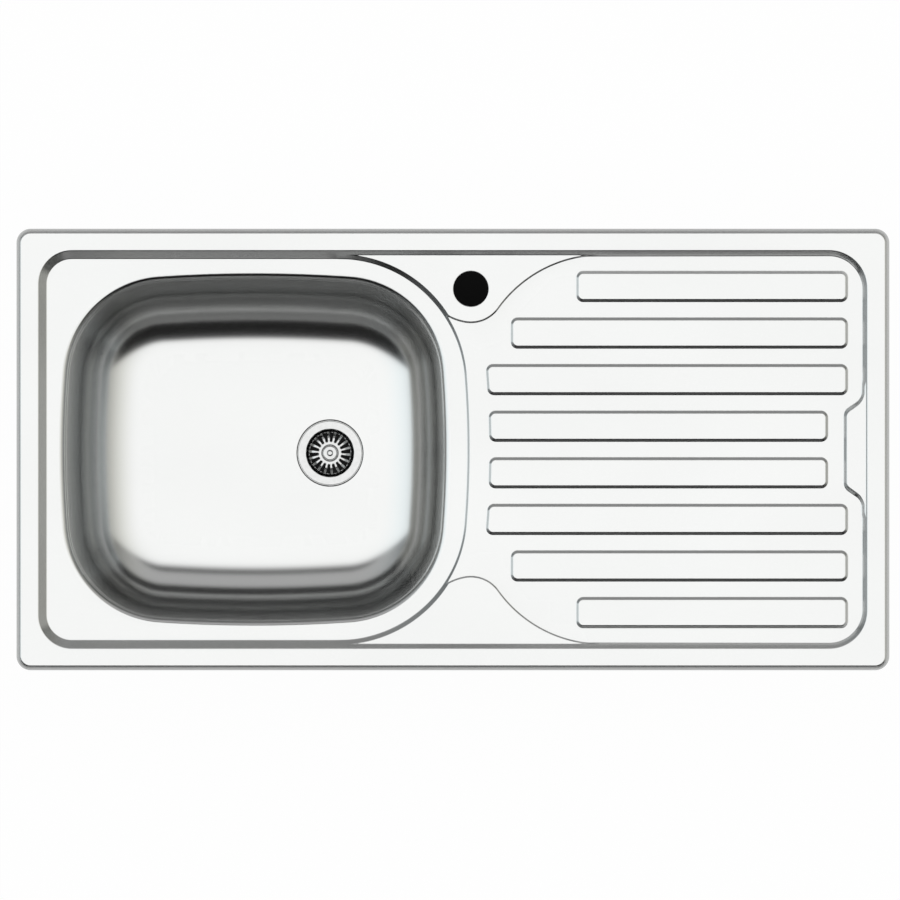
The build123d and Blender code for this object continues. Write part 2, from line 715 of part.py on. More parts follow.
def build_strainer_knob():
    """Turned knob and stem, through the crown and the stopper into the bolt's bore."""
    base = flange_z + flange_sheet + strainer_top
    top = base + knob_height
    stem_foot = well_z + bolt_head - stem_entry
    knob = spun([
        (0, stem_foot), (stem_r - stem_tip, stem_foot), (stem_r, stem_foot + stem_tip),
        (stem_r, base),
        (knob_waist_r, base), (knob_waist_r, base + knob_height / 3),
        (knob_r - knob_edge, base + knob_height / 2), (knob_r, base + knob_height / 2 + knob_edge),
        (knob_r, top - knob_edge), (knob_r - knob_edge, top),
        (dimple_r, top), (0, top - dimple_drop),
    ])
    return waste_at * knob


def build_plug_seal():
    """Rubber stopper disc on the stem, down on the cup's floor at rest."""
    lip = plug_t / 3
    disc = spun([
        (stem_r, cup_floor_z), (plug_r - lip, cup_floor_z), (plug_r, cup_floor_z + lip),
        (plug_r, cup_floor_z + plug_t), (stem_r, cup_floor_z + plug_t),
    ])
    return waste_at * disc


# --- write every piece -----------------------------------------------------------------
def write(name, solid):
    solid.label = name
    export_step(solid, os.path.join("parts", name + ".step"))


def main():
    os.makedirs("parts", exist_ok=True)
    write("deck", build_deck())
    write("bowl", build_bowl())
    write("sound_pad", build_sound_pad())
    write("rim_seal", build_rim_seal())
    for side, frame, length, places in rail_frames():
        write("rail_" + side, frame * build_rail(length, places))
        for index, x in enumerate(places):
            number = "_" + str(index + 1) if len(places) > 1 else ""
            place = frame * Pos(x, 0, 0)
            write("hanger_" + side + number, place * build_hanger())
            write("claw_" + side + number, place * build_claw())
            write("clip_screw_" + side + number, place * build_screw())
    write("waste_flange", build_waste_flange())
    write("flange_seal", build_flange_seal())
    write("body_seal", build_body_seal())
    write("waste_body", build_waste_body())
    write("body_insert", build_insert())
    write("centre_bolt", build_centre_bolt())
    write("strainer", build_strainer())
    write("strainer_knob", build_strainer_knob())
    write("plug_seal", build_plug_seal())


main()
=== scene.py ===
import json
import math

import bmesh
import bpy
import numpy as np
from bpy.props import FloatProperty, FloatVectorProperty, IntProperty, PointerProperty
from mathutils import Matrix, Vector
from mathutils.geometry import delaunay_2d_cdt


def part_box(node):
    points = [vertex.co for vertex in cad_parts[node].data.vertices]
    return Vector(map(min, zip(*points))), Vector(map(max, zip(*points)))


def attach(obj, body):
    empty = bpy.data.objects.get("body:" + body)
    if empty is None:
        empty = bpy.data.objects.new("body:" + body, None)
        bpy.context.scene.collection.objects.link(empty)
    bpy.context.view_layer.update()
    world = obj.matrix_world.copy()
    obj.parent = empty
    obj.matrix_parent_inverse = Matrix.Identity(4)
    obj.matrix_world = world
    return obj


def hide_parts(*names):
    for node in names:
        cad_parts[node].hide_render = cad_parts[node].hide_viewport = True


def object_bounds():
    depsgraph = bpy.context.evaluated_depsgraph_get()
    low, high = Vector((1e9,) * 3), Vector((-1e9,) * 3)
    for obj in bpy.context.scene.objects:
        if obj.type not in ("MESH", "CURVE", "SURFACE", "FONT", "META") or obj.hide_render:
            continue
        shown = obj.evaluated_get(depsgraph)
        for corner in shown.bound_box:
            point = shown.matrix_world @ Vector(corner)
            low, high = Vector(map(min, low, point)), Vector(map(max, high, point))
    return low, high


bl_info = {
    "name": "Inset kitchen sink",
    "version": (1, 0, 0),
    "blender": (4, 5, 0),
    "location": "3D View > Sidebar > Sink",
    "description": "Builds a pressed stainless sink with a drainer, its waste and its clips",
    "category": "Add Mesh",
}

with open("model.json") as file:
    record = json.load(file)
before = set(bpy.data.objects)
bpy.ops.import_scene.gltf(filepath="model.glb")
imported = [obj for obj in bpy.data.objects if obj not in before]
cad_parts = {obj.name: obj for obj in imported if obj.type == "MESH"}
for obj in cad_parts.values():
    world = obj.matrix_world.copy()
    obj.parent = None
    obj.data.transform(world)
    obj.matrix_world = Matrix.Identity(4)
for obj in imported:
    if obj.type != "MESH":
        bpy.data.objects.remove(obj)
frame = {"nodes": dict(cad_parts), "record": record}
CAD_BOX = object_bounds()

# Geometry is worked out in millimetres and written to meshes in metres.
MM = 0.001


def node_box(name):
    """Lowest and highest corner of a CAD node, in millimetres."""
    low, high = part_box(name)
    return [c / MM for c in low], [c / MM for c in high]


# --- sizes taken from the frame --------------------------------------------------------
DECK_LOW, DECK_HIGH = node_box("deck")
BOWL_LOW, BOWL_HIGH = node_box("bowl")
CROWN_LOW, CROWN_HIGH = node_box("strainer")
FLANGE_LOW, FLANGE_HIGH = node_box("waste_flange")
HALF_LENGTH = DECK_HIGH[0]
HALF_WIDTH = DECK_HIGH[1]
RIM_Z = DECK_HIGH[2]
LIP_Z = DECK_LOW[2]
WASTE_X = (CROWN_LOW[0] + CROWN_HIGH[0]) / 2
WASTE_Y = (CROWN_LOW[1] + CROWN_HIGH[1]) / 2
BOWL_X = (BOWL_LOW[0] + BOWL_HIGH[0]) / 2

# --- the pressed sheet -----------------------------------------------------------------
SHEET = 0.7
RIM_WIDTH = 21.5
OUTLINE_R = 14.0
BEVEL = 4.4
RECESS_X = HALF_LENGTH - RIM_WIDTH
RECESS_Y = HALF_WIDTH - RIM_WIDTH
RECESS_R_BOWL = 33.0
RECESS_R_DRAINER = 38.0
TAP_LEDGE_Z = RIM_Z - 4.4
LEDGE_Z = RIM_Z - 8.0
DEEP_FIELD_Z = RIM_Z - 5.8
FIELD_FALL = 0.6
PAD_TOP_Z = RIM_Z - 1.8
# Draft of the bowl's wall, in degrees.
DRAFT = 7.8
TAN_DRAFT = math.tan(math.radians(DRAFT))
TAN_HALF_BEND = math.tan(math.radians((90.0 - DRAFT) / 2))
# Rise of the walls of ledge and ribs over their run in plan.
LEDGE_SLOPE = 0.84
RIB_SLOPE = 0.8

# --- bowl ------------------------------------------------------------------------------
MOUTH_X = 187.8
MOUTH_Y = RECESS_Y - 26.4
MOUTH_CORNER_R = 98.0
MOUTH_END_R = 990.0
MOUTH_SIDE_R = 1402.0
MOUTH_EDGE_R = 6.5
BOWL_DEPTH = 150.0
FLOOR_R = 60.0
# How much wider the foot of the wall stands at the front and at the drainer's side.
WALL_EASE = 8.0
FLOOR_Z = LEDGE_Z - BOWL_DEPTH
DISH_R = 33.0
DISH_DROP = 1.6
DISH_EDGE_R = 0.8
WASTE_HOLE_R = 26.5

# --- ledge, tap ledge, ribs and bare pad -----------------------------------------------
LEDGE_X = BOWL_X + 209.7
LEDGE_SIDE_R = 952.0
LEDGE_CORNER_R = 124.5
LEDGE_RUN_ON = 0.25
LEDGE_TOP_Y = RECESS_Y - (RIM_Z - LEDGE_Z)
LEDGE_SIDE_X = LEDGE_X - LEDGE_SIDE_R
LEDGE_CORNER_Y = LEDGE_TOP_Y - LEDGE_CORNER_R
LEDGE_CENTRES_APART = LEDGE_SIDE_R - LEDGE_CORNER_R
LEDGE_CORNER_X = LEDGE_SIDE_X + math.sqrt(LEDGE_CENTRES_APART ** 2 - LEDGE_CORNER_Y ** 2)
LEDGE_TURN = math.atan2(LEDGE_CORNER_Y, LEDGE_CORNER_X - LEDGE_SIDE_X)
TAP_X = LEDGE_X + 3.7
TAP_Y = RECESS_Y - 37.7
TAP_HOLE_R = 17.5
TAP_PAD_R = 33.7
SWEEP_R = 125.0
SWEEP_UNDER_WALL = 0.8
SWEEP_TOP_Y = RECESS_Y - (RIM_Z - DEEP_FIELD_Z) + SWEEP_UNDER_WALL
SWEEP_Y = SWEEP_TOP_Y - SWEEP_R
SWEEP_X = TAP_X + math.sqrt((TAP_PAD_R + SWEEP_R) ** 2 - (TAP_Y - SWEEP_Y) ** 2)
TO_SWEEP = math.atan2(SWEEP_Y - TAP_Y, SWEEP_X - TAP_X)
TO_LEDGE = math.atan2(LEDGE_CORNER_Y - TAP_Y, LEDGE_CORNER_X - TAP_X)
TAP_PAD_WIDENS_FROM = math.radians(-100.0)
TAP_PAD_INTO_LEDGE = 0.6
TAP_TO_CORNER = math.hypot(LEDGE_CORNER_X - TAP_X, LEDGE_CORNER_Y - TAP_Y)
TAP_PAD_WIDENS_BY = TAP_TO_CORNER - LEDGE_CORNER_R - TAP_PAD_R + TAP_PAD_INTO_LEDGE
FIELD_LOW_X = TAP_X - TAP_PAD_R
RIB_WIDTH = 30.5
RIB_SIDE_GAP = 20.1
RIB_CORNER_R = 7.0
RIB_END_GAP = 19.2
SHORT_RIB_END_GAP = 38.8
RIB_LEDGE_GAP = 21.6
OUTER_RIB_STARTS = (42.8, 107.4)
PAD_EDGE_X = RECESS_X - 20.2
PAD_HALF_FACE = 36.0
PAD_HALF_ROOT = 50.0
PAD_CORNER_R = 7.0
PAD_JOIN_R = 8.0
# Where the bare pad's sides run into the recess wall, an inner corner rounds them; it lies
# this much lower than the wall and fades out between two distances from the middle.
PAD_JOIN_DROP = 0.7
PAD_JOIN_FADE = 12.0
PAD_JOIN_ENDS = (60.0, 85.0)
JOIN_GRID_FROM = (PAD_EDGE_X + 4.0, 42.0)
JOIN_GRID_TO = (RECESS_X + 1.0, PAD_JOIN_ENDS[1])
JOIN_SPACING = 0.8

# A fold between a flat and a 45 degree wall takes this share of its radius along the flat.
FOLD_REACH = math.tan(math.radians(22.5))
ROOT_HALF = math.sqrt(0.5)


def fold(rise, radius):
    """Rounded start of a wall: `rise` is how far the wall's plane stands above the flat."""
    reach = radius * FOLD_REACH
    along = np.clip(rise + reach, 0.0, radius)
    curve = radius - np.sqrt(radius ** 2 - along ** 2)
    return np.where(rise <= -reach, 0.0, np.where(rise >= reach * ROOT_HALF, rise, curve))


def rise_from(flat, wall, radius):
    """The higher of a flat and a wall, with a fold where they meet."""
    return flat + fold(wall - flat, radius)


def drop_from(flat, wall, radius):
    """The lower of a flat and a wall, with a fold where they meet."""
    return flat - fold(flat - wall, radius)


# --- signed distances to the outlines, in plan, positive outside -----------------------
def recess_distance(x, y):
    """Recess inside the rim, with its own corner radius at each end."""
    radius = np.where(x < 0, RECESS_R_BOWL, RECESS_R_DRAINER)
    over_x = np.abs(x) - RECESS_X + radius
    over_y = np.abs(y) - RECESS_Y + radius
    outside = np.hypot(np.maximum(over_x, 0), np.maximum(over_y, 0))
    return outside + np.minimum(np.maximum(over_x, over_y), 0) - radius


def ledge_distance(x, y):
    """Ledge round the bowl; left of its corner it runs on under the recess wall."""
    y = np.abs(y)
    side = np.hypot(x - LEDGE_SIDE_X, y) - LEDGE_SIDE_R
    corner = np.hypot(x - LEDGE_CORNER_X, y - LEDGE_CORNER_Y) - LEDGE_CORNER_R
    on_side = np.arctan2(y, x - LEDGE_SIDE_X) <= LEDGE_TURN
    past = LEDGE_CORNER_X - x
    left = y - LEDGE_TOP_Y - past * LEDGE_RUN_ON
    return np.where(on_side, side, np.where(past > 0, left, corner))


def tap_pad_reach(turn):
    """Radius of the tap ledge's rounded end, which widens until it runs into the bowl's ledge."""
    span = TAP_PAD_WIDENS_FROM - TO_LEDGE
    share = np.clip((TAP_PAD_WIDENS_FROM - turn) / span, 0, 1)
    return TAP_PAD_R + TAP_PAD_WIDENS_BY * share ** 2


def tap_pad_distance(x, y):
    """Tap ledge where it stands above the drainer floor; the same at front and back."""
    y = np.abs(y)
    turn = np.arctan2(y - TAP_Y, x - TAP_X)
    circle = np.hypot(x - TAP_X, y - TAP_Y) - tap_pad_reach(turn)
    sweep = SWEEP_R - np.hypot(x - SWEEP_X, y - SWEEP_Y)
    under = (turn <= TO_SWEEP) & (turn >= TO_LEDGE)
    inside = np.minimum(-RIB_WIDTH, sweep)
    beside = (x > TAP_X) & (x < SWEEP_X)
    flank = np.where(beside, sweep, inside)
    return np.where(under, circle, np.where(x >= SWEEP_X, SWEEP_TOP_Y - y, flank))


def polygon_distance(x, y, corners, radius):
    """Convex polygon, anticlockwise, whose corners are rounded to a radius."""
    lines = []
    for (x0, y0), (x1, y1) in zip(corners, corners[1:] + corners[:1]):
        length = math.hypot(x1 - x0, y1 - y0)
        nx, ny = (y1 - y0) / length, (x0 - x1) / length
        lines.append((nx, ny, nx * x0 + ny * y0 - radius))
    tips = []
    for (ax, ay, ac), (bx, by, bc) in zip(lines[-1:] + lines[:-1], lines):
        det = ax * by - ay * bx
        tips.append(((ac * by - bc * ay) / det, (ax * bc - bx * ac) / det))
    inside = np.full(np.shape(x), -np.inf)
    nearest = np.full(np.shape(x), np.inf)
    for (nx, ny, c), (x0, y0), (x1, y1) in zip(lines, tips, tips[1:] + tips[:1]):
        inside = np.maximum(inside, nx * x + ny * y - c)
        span = (x1 - x0) ** 2 + (y1 - y0) ** 2
        t = np.clip(((x - x0) * (x1 - x0) + (y - y0) * (y1 - y0)) / span, 0, 1)
        nearest = np.minimum(nearest, np.hypot(x - x0 - t * (x1 - x0), y - y0 - t * (y1 - y0)))
    return np.where(inside < 0, inside, nearest) - radius


def ledge_edge(y):
    """Where the ledge's side towards the drainer lies."""
    return LEDGE_SIDE_X + math.sqrt(LEDGE_SIDE_R ** 2 - y ** 2)


def rib_corners(index, count):
    """Corners of one rib at the drainer floor, from the front of the drainer to the back."""
    pitch = (RECESS_Y - RIB_SIDE_GAP - RIB_WIDTH / 2) * 2 / (count - 1)
    row = index - (count - 1) / 2
    low, high = row * pitch - RIB_WIDTH / 2, row * pitch + RIB_WIDTH / 2
    place = int(abs(row))
    end_x = RECESS_X - (SHORT_RIB_END_GAP if place == 0 else RIB_END_GAP)
    if place < 2:
        low_x, high_x = ledge_edge(low) + RIB_LEDGE_GAP, ledge_edge(high) + RIB_LEDGE_GAP
    else:
        low_x = high_x = LEDGE_X + OUTER_RIB_STARTS[place - 2]
    return [(low_x, low), (end_x, low), (end_x, high), (high_x, high)]


def bare_pad_corners():
    """Bare pad, carried on past the recess wall that it dies into."""
    slant = (PAD_HALF_ROOT - PAD_HALF_FACE) / (RECESS_X - PAD_EDGE_X)
    far_x = HALF_LENGTH + RIM_WIDTH
    far_y = PAD_HALF_FACE + slant * (far_x - PAD_EDGE_X)
    near_x, near_y = PAD_EDGE_X, PAD_HALF_FACE
    return [(near_x, -near_y), (far_x, -far_y), (far_x, far_y), (near_x, near_y)]


def bare_pad_distance(x, y, corners):
    """Bare pad, run into the recess wall by rounded inner corners that fade out beside it."""
    pad = polygon_distance(x, y, corners, PAD_CORNER_R)
    first, last = PAD_JOIN_ENDS
    away = np.clip((np.abs(y) - first) / (last - first), 0, 1)
    wall = PAD_TOP_Z - RIM_Z - recess_distance(x, y) - PAD_JOIN_DROP + PAD_JOIN_FADE * away ** 2
    near = np.hypot(np.maximum(PAD_JOIN_R - pad, 0), np.maximum(PAD_JOIN_R - wall, 0))
    joined = np.maximum(PAD_JOIN_R, np.minimum(pad, wall)) - near
    return np.where((away < 1) & (x > 0), joined, pad)


class PressedForm:
    """Height of the pressed sheet's upper face over the plan, and the folds that shape it."""

    def __init__(self, sizes):
        self.crest_r = sizes.crest_fold / MM
        self.root_r = sizes.root_fold / MM
        self.rib_r = sizes.rib_fold / MM
        self.rib_height = sizes.rib_height / MM
        self.ribs = [rib_corners(i, sizes.rib_count) for i in range(sizes.rib_count)]
        self.pad = bare_pad_corners()

    def field(self, x):
        """Drainer floor, which falls towards the bowl."""
        return DEEP_FIELD_Z + FIELD_FALL * (x - FIELD_LOW_X) / (RECESS_X - FIELD_LOW_X)

    def upper(self, x, y):
        """Tap ledge and drainer floor, before the bowl's ledge is sunk into them."""
        wall = DEEP_FIELD_Z - tap_pad_distance(x, y)
        raised = rise_from(self.field(x), wall, self.rib_r)
        return drop_from(TAP_LEDGE_Z, raised, self.rib_r)

    def floor(self, x, y):
        """Everything inside the recess."""
        wall = LEDGE_Z + LEDGE_SLOPE * ledge_distance(x, y)
        return drop_from(self.upper(x, y), rise_from(LEDGE_Z, wall, self.root_r), self.rib_r)

    def height(self, x, y):
        """The whole sheet, with its ribs, the bare pad and the wall up to the rim."""
        z = self.floor(x, y)
        field = self.field(x)
        for corners in self.ribs:
            wall = -RIB_SLOPE * polygon_distance(x, y, corners, RIB_CORNER_R)
            top = drop_from(self.rib_height, wall, self.rib_r)
            z = np.where(wall > -RIB_CORNER_R / 2, rise_from(z, field + top, self.rib_r), z)
        slope = PAD_TOP_Z - bare_pad_distance(x, y, self.pad)
        z = rise_from(z, drop_from(PAD_TOP_Z, slope, self.crest_r), self.root_r)
        wall = RIM_Z + recess_distance(x, y)
        return drop_from(RIM_Z, rise_from(z, wall, self.root_r), self.crest_r)

    def normals(self, x, y):
        """Upward normals of the sheet, from its slope over a small step."""
        step = 0.02
        dx = (self.height(x + step, y) - self.height(x - step, y)) / (2 * step)
        dy = (self.height(x, y + step) - self.height(x, y - step)) / (2 * step)
        out = np.stack([-dx, -dy, np.ones_like(dx)], axis=1)
        return out / np.linalg.norm(out, axis=1, keepdims=True)


# --- node trees ------------------------------------------------------------------------
class Wire:
    """Output of a node. Arithmetic on it adds Math nodes to its tree."""

    def __init__(self, tree, socket):
        self.tree, self.socket = tree, socket

    def maths(self, operation, *values):
        """One Math node on values that are wires or numbers."""
        return self.tree.add("ShaderNodeMath", {"operation": operation}, dict(enumerate(values)))

    def __add__(self, other):
        return self.maths("ADD", self, other)

    __radd__ = __add__

    def __mul__(self, other):
        return self.maths("MULTIPLY", self, other)

    __rmul__ = __mul__

    def __sub__(self, other):
        return self.maths("SUBTRACT", self, other)

    def __rsub__(self, other):
        return self.maths("SUBTRACT", other, self)

    def __truediv__(self, other):
        return self.maths("DIVIDE", self, other)

    def __rtruediv__(self, other):
        return self.maths("DIVIDE", other, self)

    def __pow__(self, other):
        return self.maths("POWER", self, other)

    def __rpow__(self, other):
        return self.maths("POWER", other, self)

    def __neg__(self):
        return self.maths("MULTIPLY", self, -1.0)

    def size(self):
        """The value without its sign."""
        return self.maths("ABSOLUTE", self)

    def most(self, other):
        """The larger of two values."""
        return self.maths("MAXIMUM", self, other)

    def limited(self, low, high):
        """Where the value lies between two bounds, as a smoothed share from 0 to 1."""
        sockets = {0: self, 1: low, 2: high}
        return self.tree.add("ShaderNodeMapRange", {"interpolation_type": "SMOOTHSTEP"}, sockets)


class Tree:
    """A node tree with one way to add a node: its type, its settings and its sockets."""

    def __init__(self, tree):
        self.tree = tree

    def node(self, kind, settings=None, sockets=None):
        """A new node; a socket's value is a number, a colour or the wire that feeds it."""
        made = self.tree.nodes.new(kind)
        for key, value in (settings or {}).items():
            setattr(made, key, value)
        for key, value in (sockets or {}).items():
            if isinstance(value, Wire):
                self.tree.links.new(value.socket, made.inputs[key])
            else:
                made.inputs[key].default_value = value
        return made

    def add(self, kind, settings=None, sockets=None, output=0):
        """One output of a new node."""
        return Wire(self, self.node(kind, settings, sockets).outputs[output])

    def parts(self, vector):
        """X, Y and Z of a vector."""
        made = self.node("ShaderNodeSeparateXYZ", {}, {0: vector})
        return [Wire(self, socket) for socket in made.outputs]

    def mix(self, factor, low, high):
        """A colour between two colours."""
        settings = {"data_type": "RGBA", "blend_type": "MIX"}
        return self.add("ShaderNodeMix", settings, {0: factor, 6: low, 7: high}, 2)


class Growth(Tree):
    """A Geometry Nodes tree with named inputs, run once on a mesh to give a plain mesh."""

    KINDS = {int: "Int", float: "Float", tuple: "Vector"}

    def __init__(self, name, values):
        super().__init__(bpy.data.node_groups.new(name, "GeometryNodeTree"))
        sockets = self.tree.interface
        sockets.new_socket("Geometry", in_out="OUTPUT", socket_type="NodeSocketGeometry")
        self.identifiers = {}
        for key in ("Geometry", "Material", *values):
            kind = "NodeSocket" + self.KINDS.get(type(values.get(key)), key)
            made = sockets.new_socket(key, in_out="INPUT", socket_type=kind)
            self.identifiers[key] = made.identifier
        self.values = values
        self.source = self.node("NodeGroupInput")

    def given(self, name):
        """One of the tree's named inputs."""
        return Wire(self, self.source.outputs[name])

    def upward(self, z):
        """A vector along Z."""
        return self.add("ShaderNodeCombineXYZ", {}, {"Z": z})

    def moved(self, geometry, by):
        """Geometry moved by a vector."""
        sockets = {"Geometry": geometry, "Translation": by}
        return self.add("GeometryNodeTransform", {}, sockets)

    def joined(self, *pieces):
        """Several geometries as one."""
        made = self.node("GeometryNodeJoinGeometry")
        for piece in pieces:
            self.tree.links.new(piece.socket, made.inputs[0])
        return Wire(self, made.outputs[0])

    def grow(self, geometry, mesh, paint, weld=0.0):
        """Ends the tree, runs it on the mesh and returns the plain mesh that comes out."""
        whole = self.add("GeometryNodeRealizeInstances", {}, {0: geometry})
        if weld:
            sockets = {"Geometry": whole, "Distance": weld}
            whole = self.add("GeometryNodeMergeByDistance", {}, sockets)
        sockets = {"Geometry": whole, "Material": self.given("Material")}
        painted = self.add("GeometryNodeSetMaterial", {}, sockets)
        self.node("NodeGroupOutput", {}, {0: painted})
        holder = bpy.data.objects.new(self.tree.name, mesh)
        bpy.context.scene.collection.objects.link(holder)
        modifier = holder.modifiers.new(self.tree.name, "NODES")
        modifier.node_group = self.tree
        for key, value in self.values.items():
            modifier[self.identifiers[key]] = value
        modifier[self.identifiers["Material"]] = paint
        depsgraph = bpy.context.evaluated_depsgraph_get()
        made = bpy.data.meshes.new_from_object(holder.evaluated_get(depsgraph))
        holder.modifiers.remove(modifier)
        bpy.data.objects.remove(holder)
        if not made.polygons:
            raise RuntimeError(f"{self.tree.name} grew nothing")
        return made


THREAD_STEPS = 28


def turned_copies(name, mesh, count, paint):
    """Copies of a sector set round the waste's axis and merged into one ring."""
    g = Growth(name, {"Count": count, "Centre": (WASTE_X * MM, WASTE_Y * MM, 0.0)})
    sockets = {"Count": g.given("Count"), "Position": g.given("Centre")}
    places = g.add("GeometryNodePoints", {}, sockets)
    turn = g.add("GeometryNodeInputIndex") * math.tau / g.given("Count")
    sockets = {"Points": places, "Instance": g.given("Geometry"), "Rotation": g.upward(turn)}
    ring = g.add("GeometryNodeInstanceOnPoints", {}, sockets)
    return g.grow(ring, mesh, paint, weld=SECTOR_WELD * MM)


def screw_threads(name, mesh, sizes, paint):
    """A mesh and, wound round it, the ridge of its thread."""
    g = Growth(name, sizes)
    crest, depth, pitch = g.given("Crest radius"), g.given("Depth"), g.given("Pitch")
    wound = {
        "Resolution": THREAD_STEPS, "Rotations": g.given("Length") / pitch,
        "Start Radius": crest - depth, "End Radius": crest - depth, "Height": g.given("Length"),
    }
    helix = g.add("GeometryNodeCurveSpiral", {}, wound)
    upright = g.add("GeometryNodeSetCurveNormal", {"mode": "Z_UP"}, {0: helix})
    ridge = g.add("GeometryNodeCurvePrimitiveCircle", {}, {"Resolution": 4, "Radius": depth})
    sockets = {"Curve": upright, "Profile Curve": ridge, "Fill Caps": True}
    thread = g.add("GeometryNodeCurveToMesh", {}, sockets)
    set_on = g.moved(thread, g.given("Foot"))
    return g.grow(g.joined(g.given("Geometry"), set_on), mesh, paint)


# --- outlines as runs of arcs and lines, sampled at any offset -------------------------
# Greatest distance between the points of an outline, from its straight lines and slow curves
# to the curves that are seen closely, and the greatest turn between two of them in degrees.
LINE_STEP = 12.0
SIDE_STEP = 8.0
LEDGE_STEP = 5.0
MOUTH_STEP = 4.0
ARC_STEP = 2.5
RIB_STEP = 1.6
HOLE_STEP = 1.4
COARSEST_TURN = 6.0
TOUCHING = 1e-6


def arc(centre, radius, start, end, side=1, step=ARC_STEP):
    """Points of an arc in degrees; `side` is -1 where the material lies outside the arc."""
    span = abs(end - start)
    count = max(3, math.ceil(math.radians(span) * radius / step), math.ceil(span / COARSEST_TURN))
    turns = np.radians(np.linspace(start, end, count + 1))
    heading = np.stack([np.cos(turns), np.sin(turns)], axis=1)
    return np.array(centre) + radius * heading, heading * side


def line(start, end):
    """Points of a straight run, with the outside on its right."""
    start, end = np.array(start, float), np.array(end, float)
    along = end - start
    length = np.linalg.norm(along)
    shares = np.linspace(0, 1, max(1, math.ceil(length / LINE_STEP)) + 1)[:, None]
    out = np.tile([along[1] / length, -along[0] / length], (len(shares), 1))
    return start + shares * along, out


def join(*runs):
    """One outline from runs that follow each other, as points and outward headings."""
    points = np.concatenate([run[0] for run in runs])
    out = np.concatenate([run[1] for run in runs])
    new = np.ones(len(points), bool)
    new[1:] = np.linalg.norm(np.diff(points, axis=0), axis=1) > TOUCHING
    if np.linalg.norm(points[0] - points[-1]) < TOUCHING:
        new[-1] = False
    return points[new], out[new]


def closed_by_lines(arcs):
    """Closed outline of arcs, with a straight line from each to the next."""
    runs = []
    for index, run in enumerate(arcs):
        following = arcs[(index + 1) % len(arcs)]
        runs += [run, line(run[0][-1], following[0][0])]
    return join(*runs)


def rounded_rectangle(half_x, half_y, radius_left, radius_right):
    """Anticlockwise outline with its own corner radius at each end."""
    arcs = []
    for quarter, (sx, sy) in enumerate(((1, 1), (-1, 1), (-1, -1), (1, -1))):
        r = radius_right if sx > 0 else radius_left
        start = 90 * quarter
        arcs.append(arc((sx * (half_x - r), sy * (half_y - r)), r, start, start + 90))
    return closed_by_lines(arcs)


def rounded_polygon(corners, radius):
    """Anticlockwise outline of a convex polygon with rounded corners."""
    arcs = []
    for before, here, after in zip(corners[-1:] + corners[:-1], corners, corners[1:] + corners[:1]):
        a = math.atan2(here[1] - before[1], here[0] - before[0])
        b = math.atan2(after[1] - here[1], after[0] - here[0])
        bend = (b - a) % math.tau
        cut = radius / math.cos(bend / 2)
        bisector = (a + b + (math.tau if b < a else 0)) / 2 - math.pi / 2
        centre = (here[0] - cut * math.cos(bisector), here[1] - cut * math.sin(bisector))
        start = math.degrees(a - math.pi / 2)
        arcs.append(arc(centre, radius, start, start + math.degrees(bend), step=RIB_STEP))
    return closed_by_lines(arcs)


def mouth_outline():
    """The bowl's mouth: four slowly bulging sides joined by large corners."""
    to_side, to_end = MOUTH_SIDE_R - MOUTH_CORNER_R, MOUTH_END_R - MOUTH_CORNER_R
    side_y, end_x = MOUTH_Y - MOUTH_SIDE_R, MOUTH_X - MOUTH_END_R
    span = math.hypot(end_x, side_y)
    along = (to_side ** 2 - to_end ** 2 + span ** 2) / (2 * span)
    across = math.sqrt(to_side ** 2 - along ** 2)
    ux, uy = end_x / span, -side_y / span
    corner_x, corner_y = along * ux + across * uy, side_y + along * uy - across * ux
    end_turn = math.degrees(math.atan2(corner_y, corner_x - end_x))
    side_turn = math.degrees(math.atan2(corner_y - side_y, corner_x))
    quarter = [
        arc((end_x, 0), MOUTH_END_R, 0, end_turn, step=SIDE_STEP),
        arc((corner_x, corner_y), MOUTH_CORNER_R, end_turn, side_turn, step=MOUTH_STEP),
        arc((0, side_y), MOUTH_SIDE_R, side_turn, 90, step=SIDE_STEP),
    ]
    runs = []
    for flip in ((1, 1), (-1, 1), (-1, -1), (1, -1)):
        parts = [(points * flip, out * flip) for points, out in quarter]
        if flip[0] * flip[1] < 0:
            parts = [(points[::-1], out[::-1]) for points, out in parts[::-1]]
        runs += parts
    points, out = join(*runs)
    return points + (BOWL_X, 0), out


def shifted(outline, distance):
    """Points of an outline moved outwards, by one distance or by one for each point."""
    points, out = outline
    return points + out * np.reshape(distance, (-1, 1))


# --- flat regions between outlines -----------------------------------------------------
def inside_loop(points, loop):
    """True for the points that lie within a closed loop."""
    x, y = points[:, 0], points[:, 1]
    within = np.zeros(len(points), bool)
    for (x0, y0), (x1, y1) in zip(loop, np.roll(loop, -1, axis=0)):
        if y0 != y1:
            crosses = (y0 > y) != (y1 > y)
            within ^= crosses & (x < (x1 - x0) * (y - y0) / (y1 - y0) + x0)
    return within


def grid_points(low, high, spacing):
    """An even grid of points over a rectangle."""
    xs = np.arange(low[0], high[0], spacing)
    ys = np.arange(low[1], high[1], spacing)
    return np.stack(np.meshgrid(xs, ys), axis=2).reshape(-1, 2)


def scattered(low, high, spacing, taken, clearance):
    """A sparse grid of points that keeps its distance from the points already taken."""
    grid = grid_points(low, high, spacing)
    free = [p for p in grid if np.min(np.sum((taken - p) ** 2, axis=1)) > clearance ** 2]
    return np.array(free).reshape(-1, 2)


# Points nearer than this are one point. A triangle whose doubled area is below the second
# figure is dropped along the outer edge, and below the third anywhere.
SAME_POINT = 1e-5
OUTER_SLIVER = 1e-4
EMPTY = 1e-9


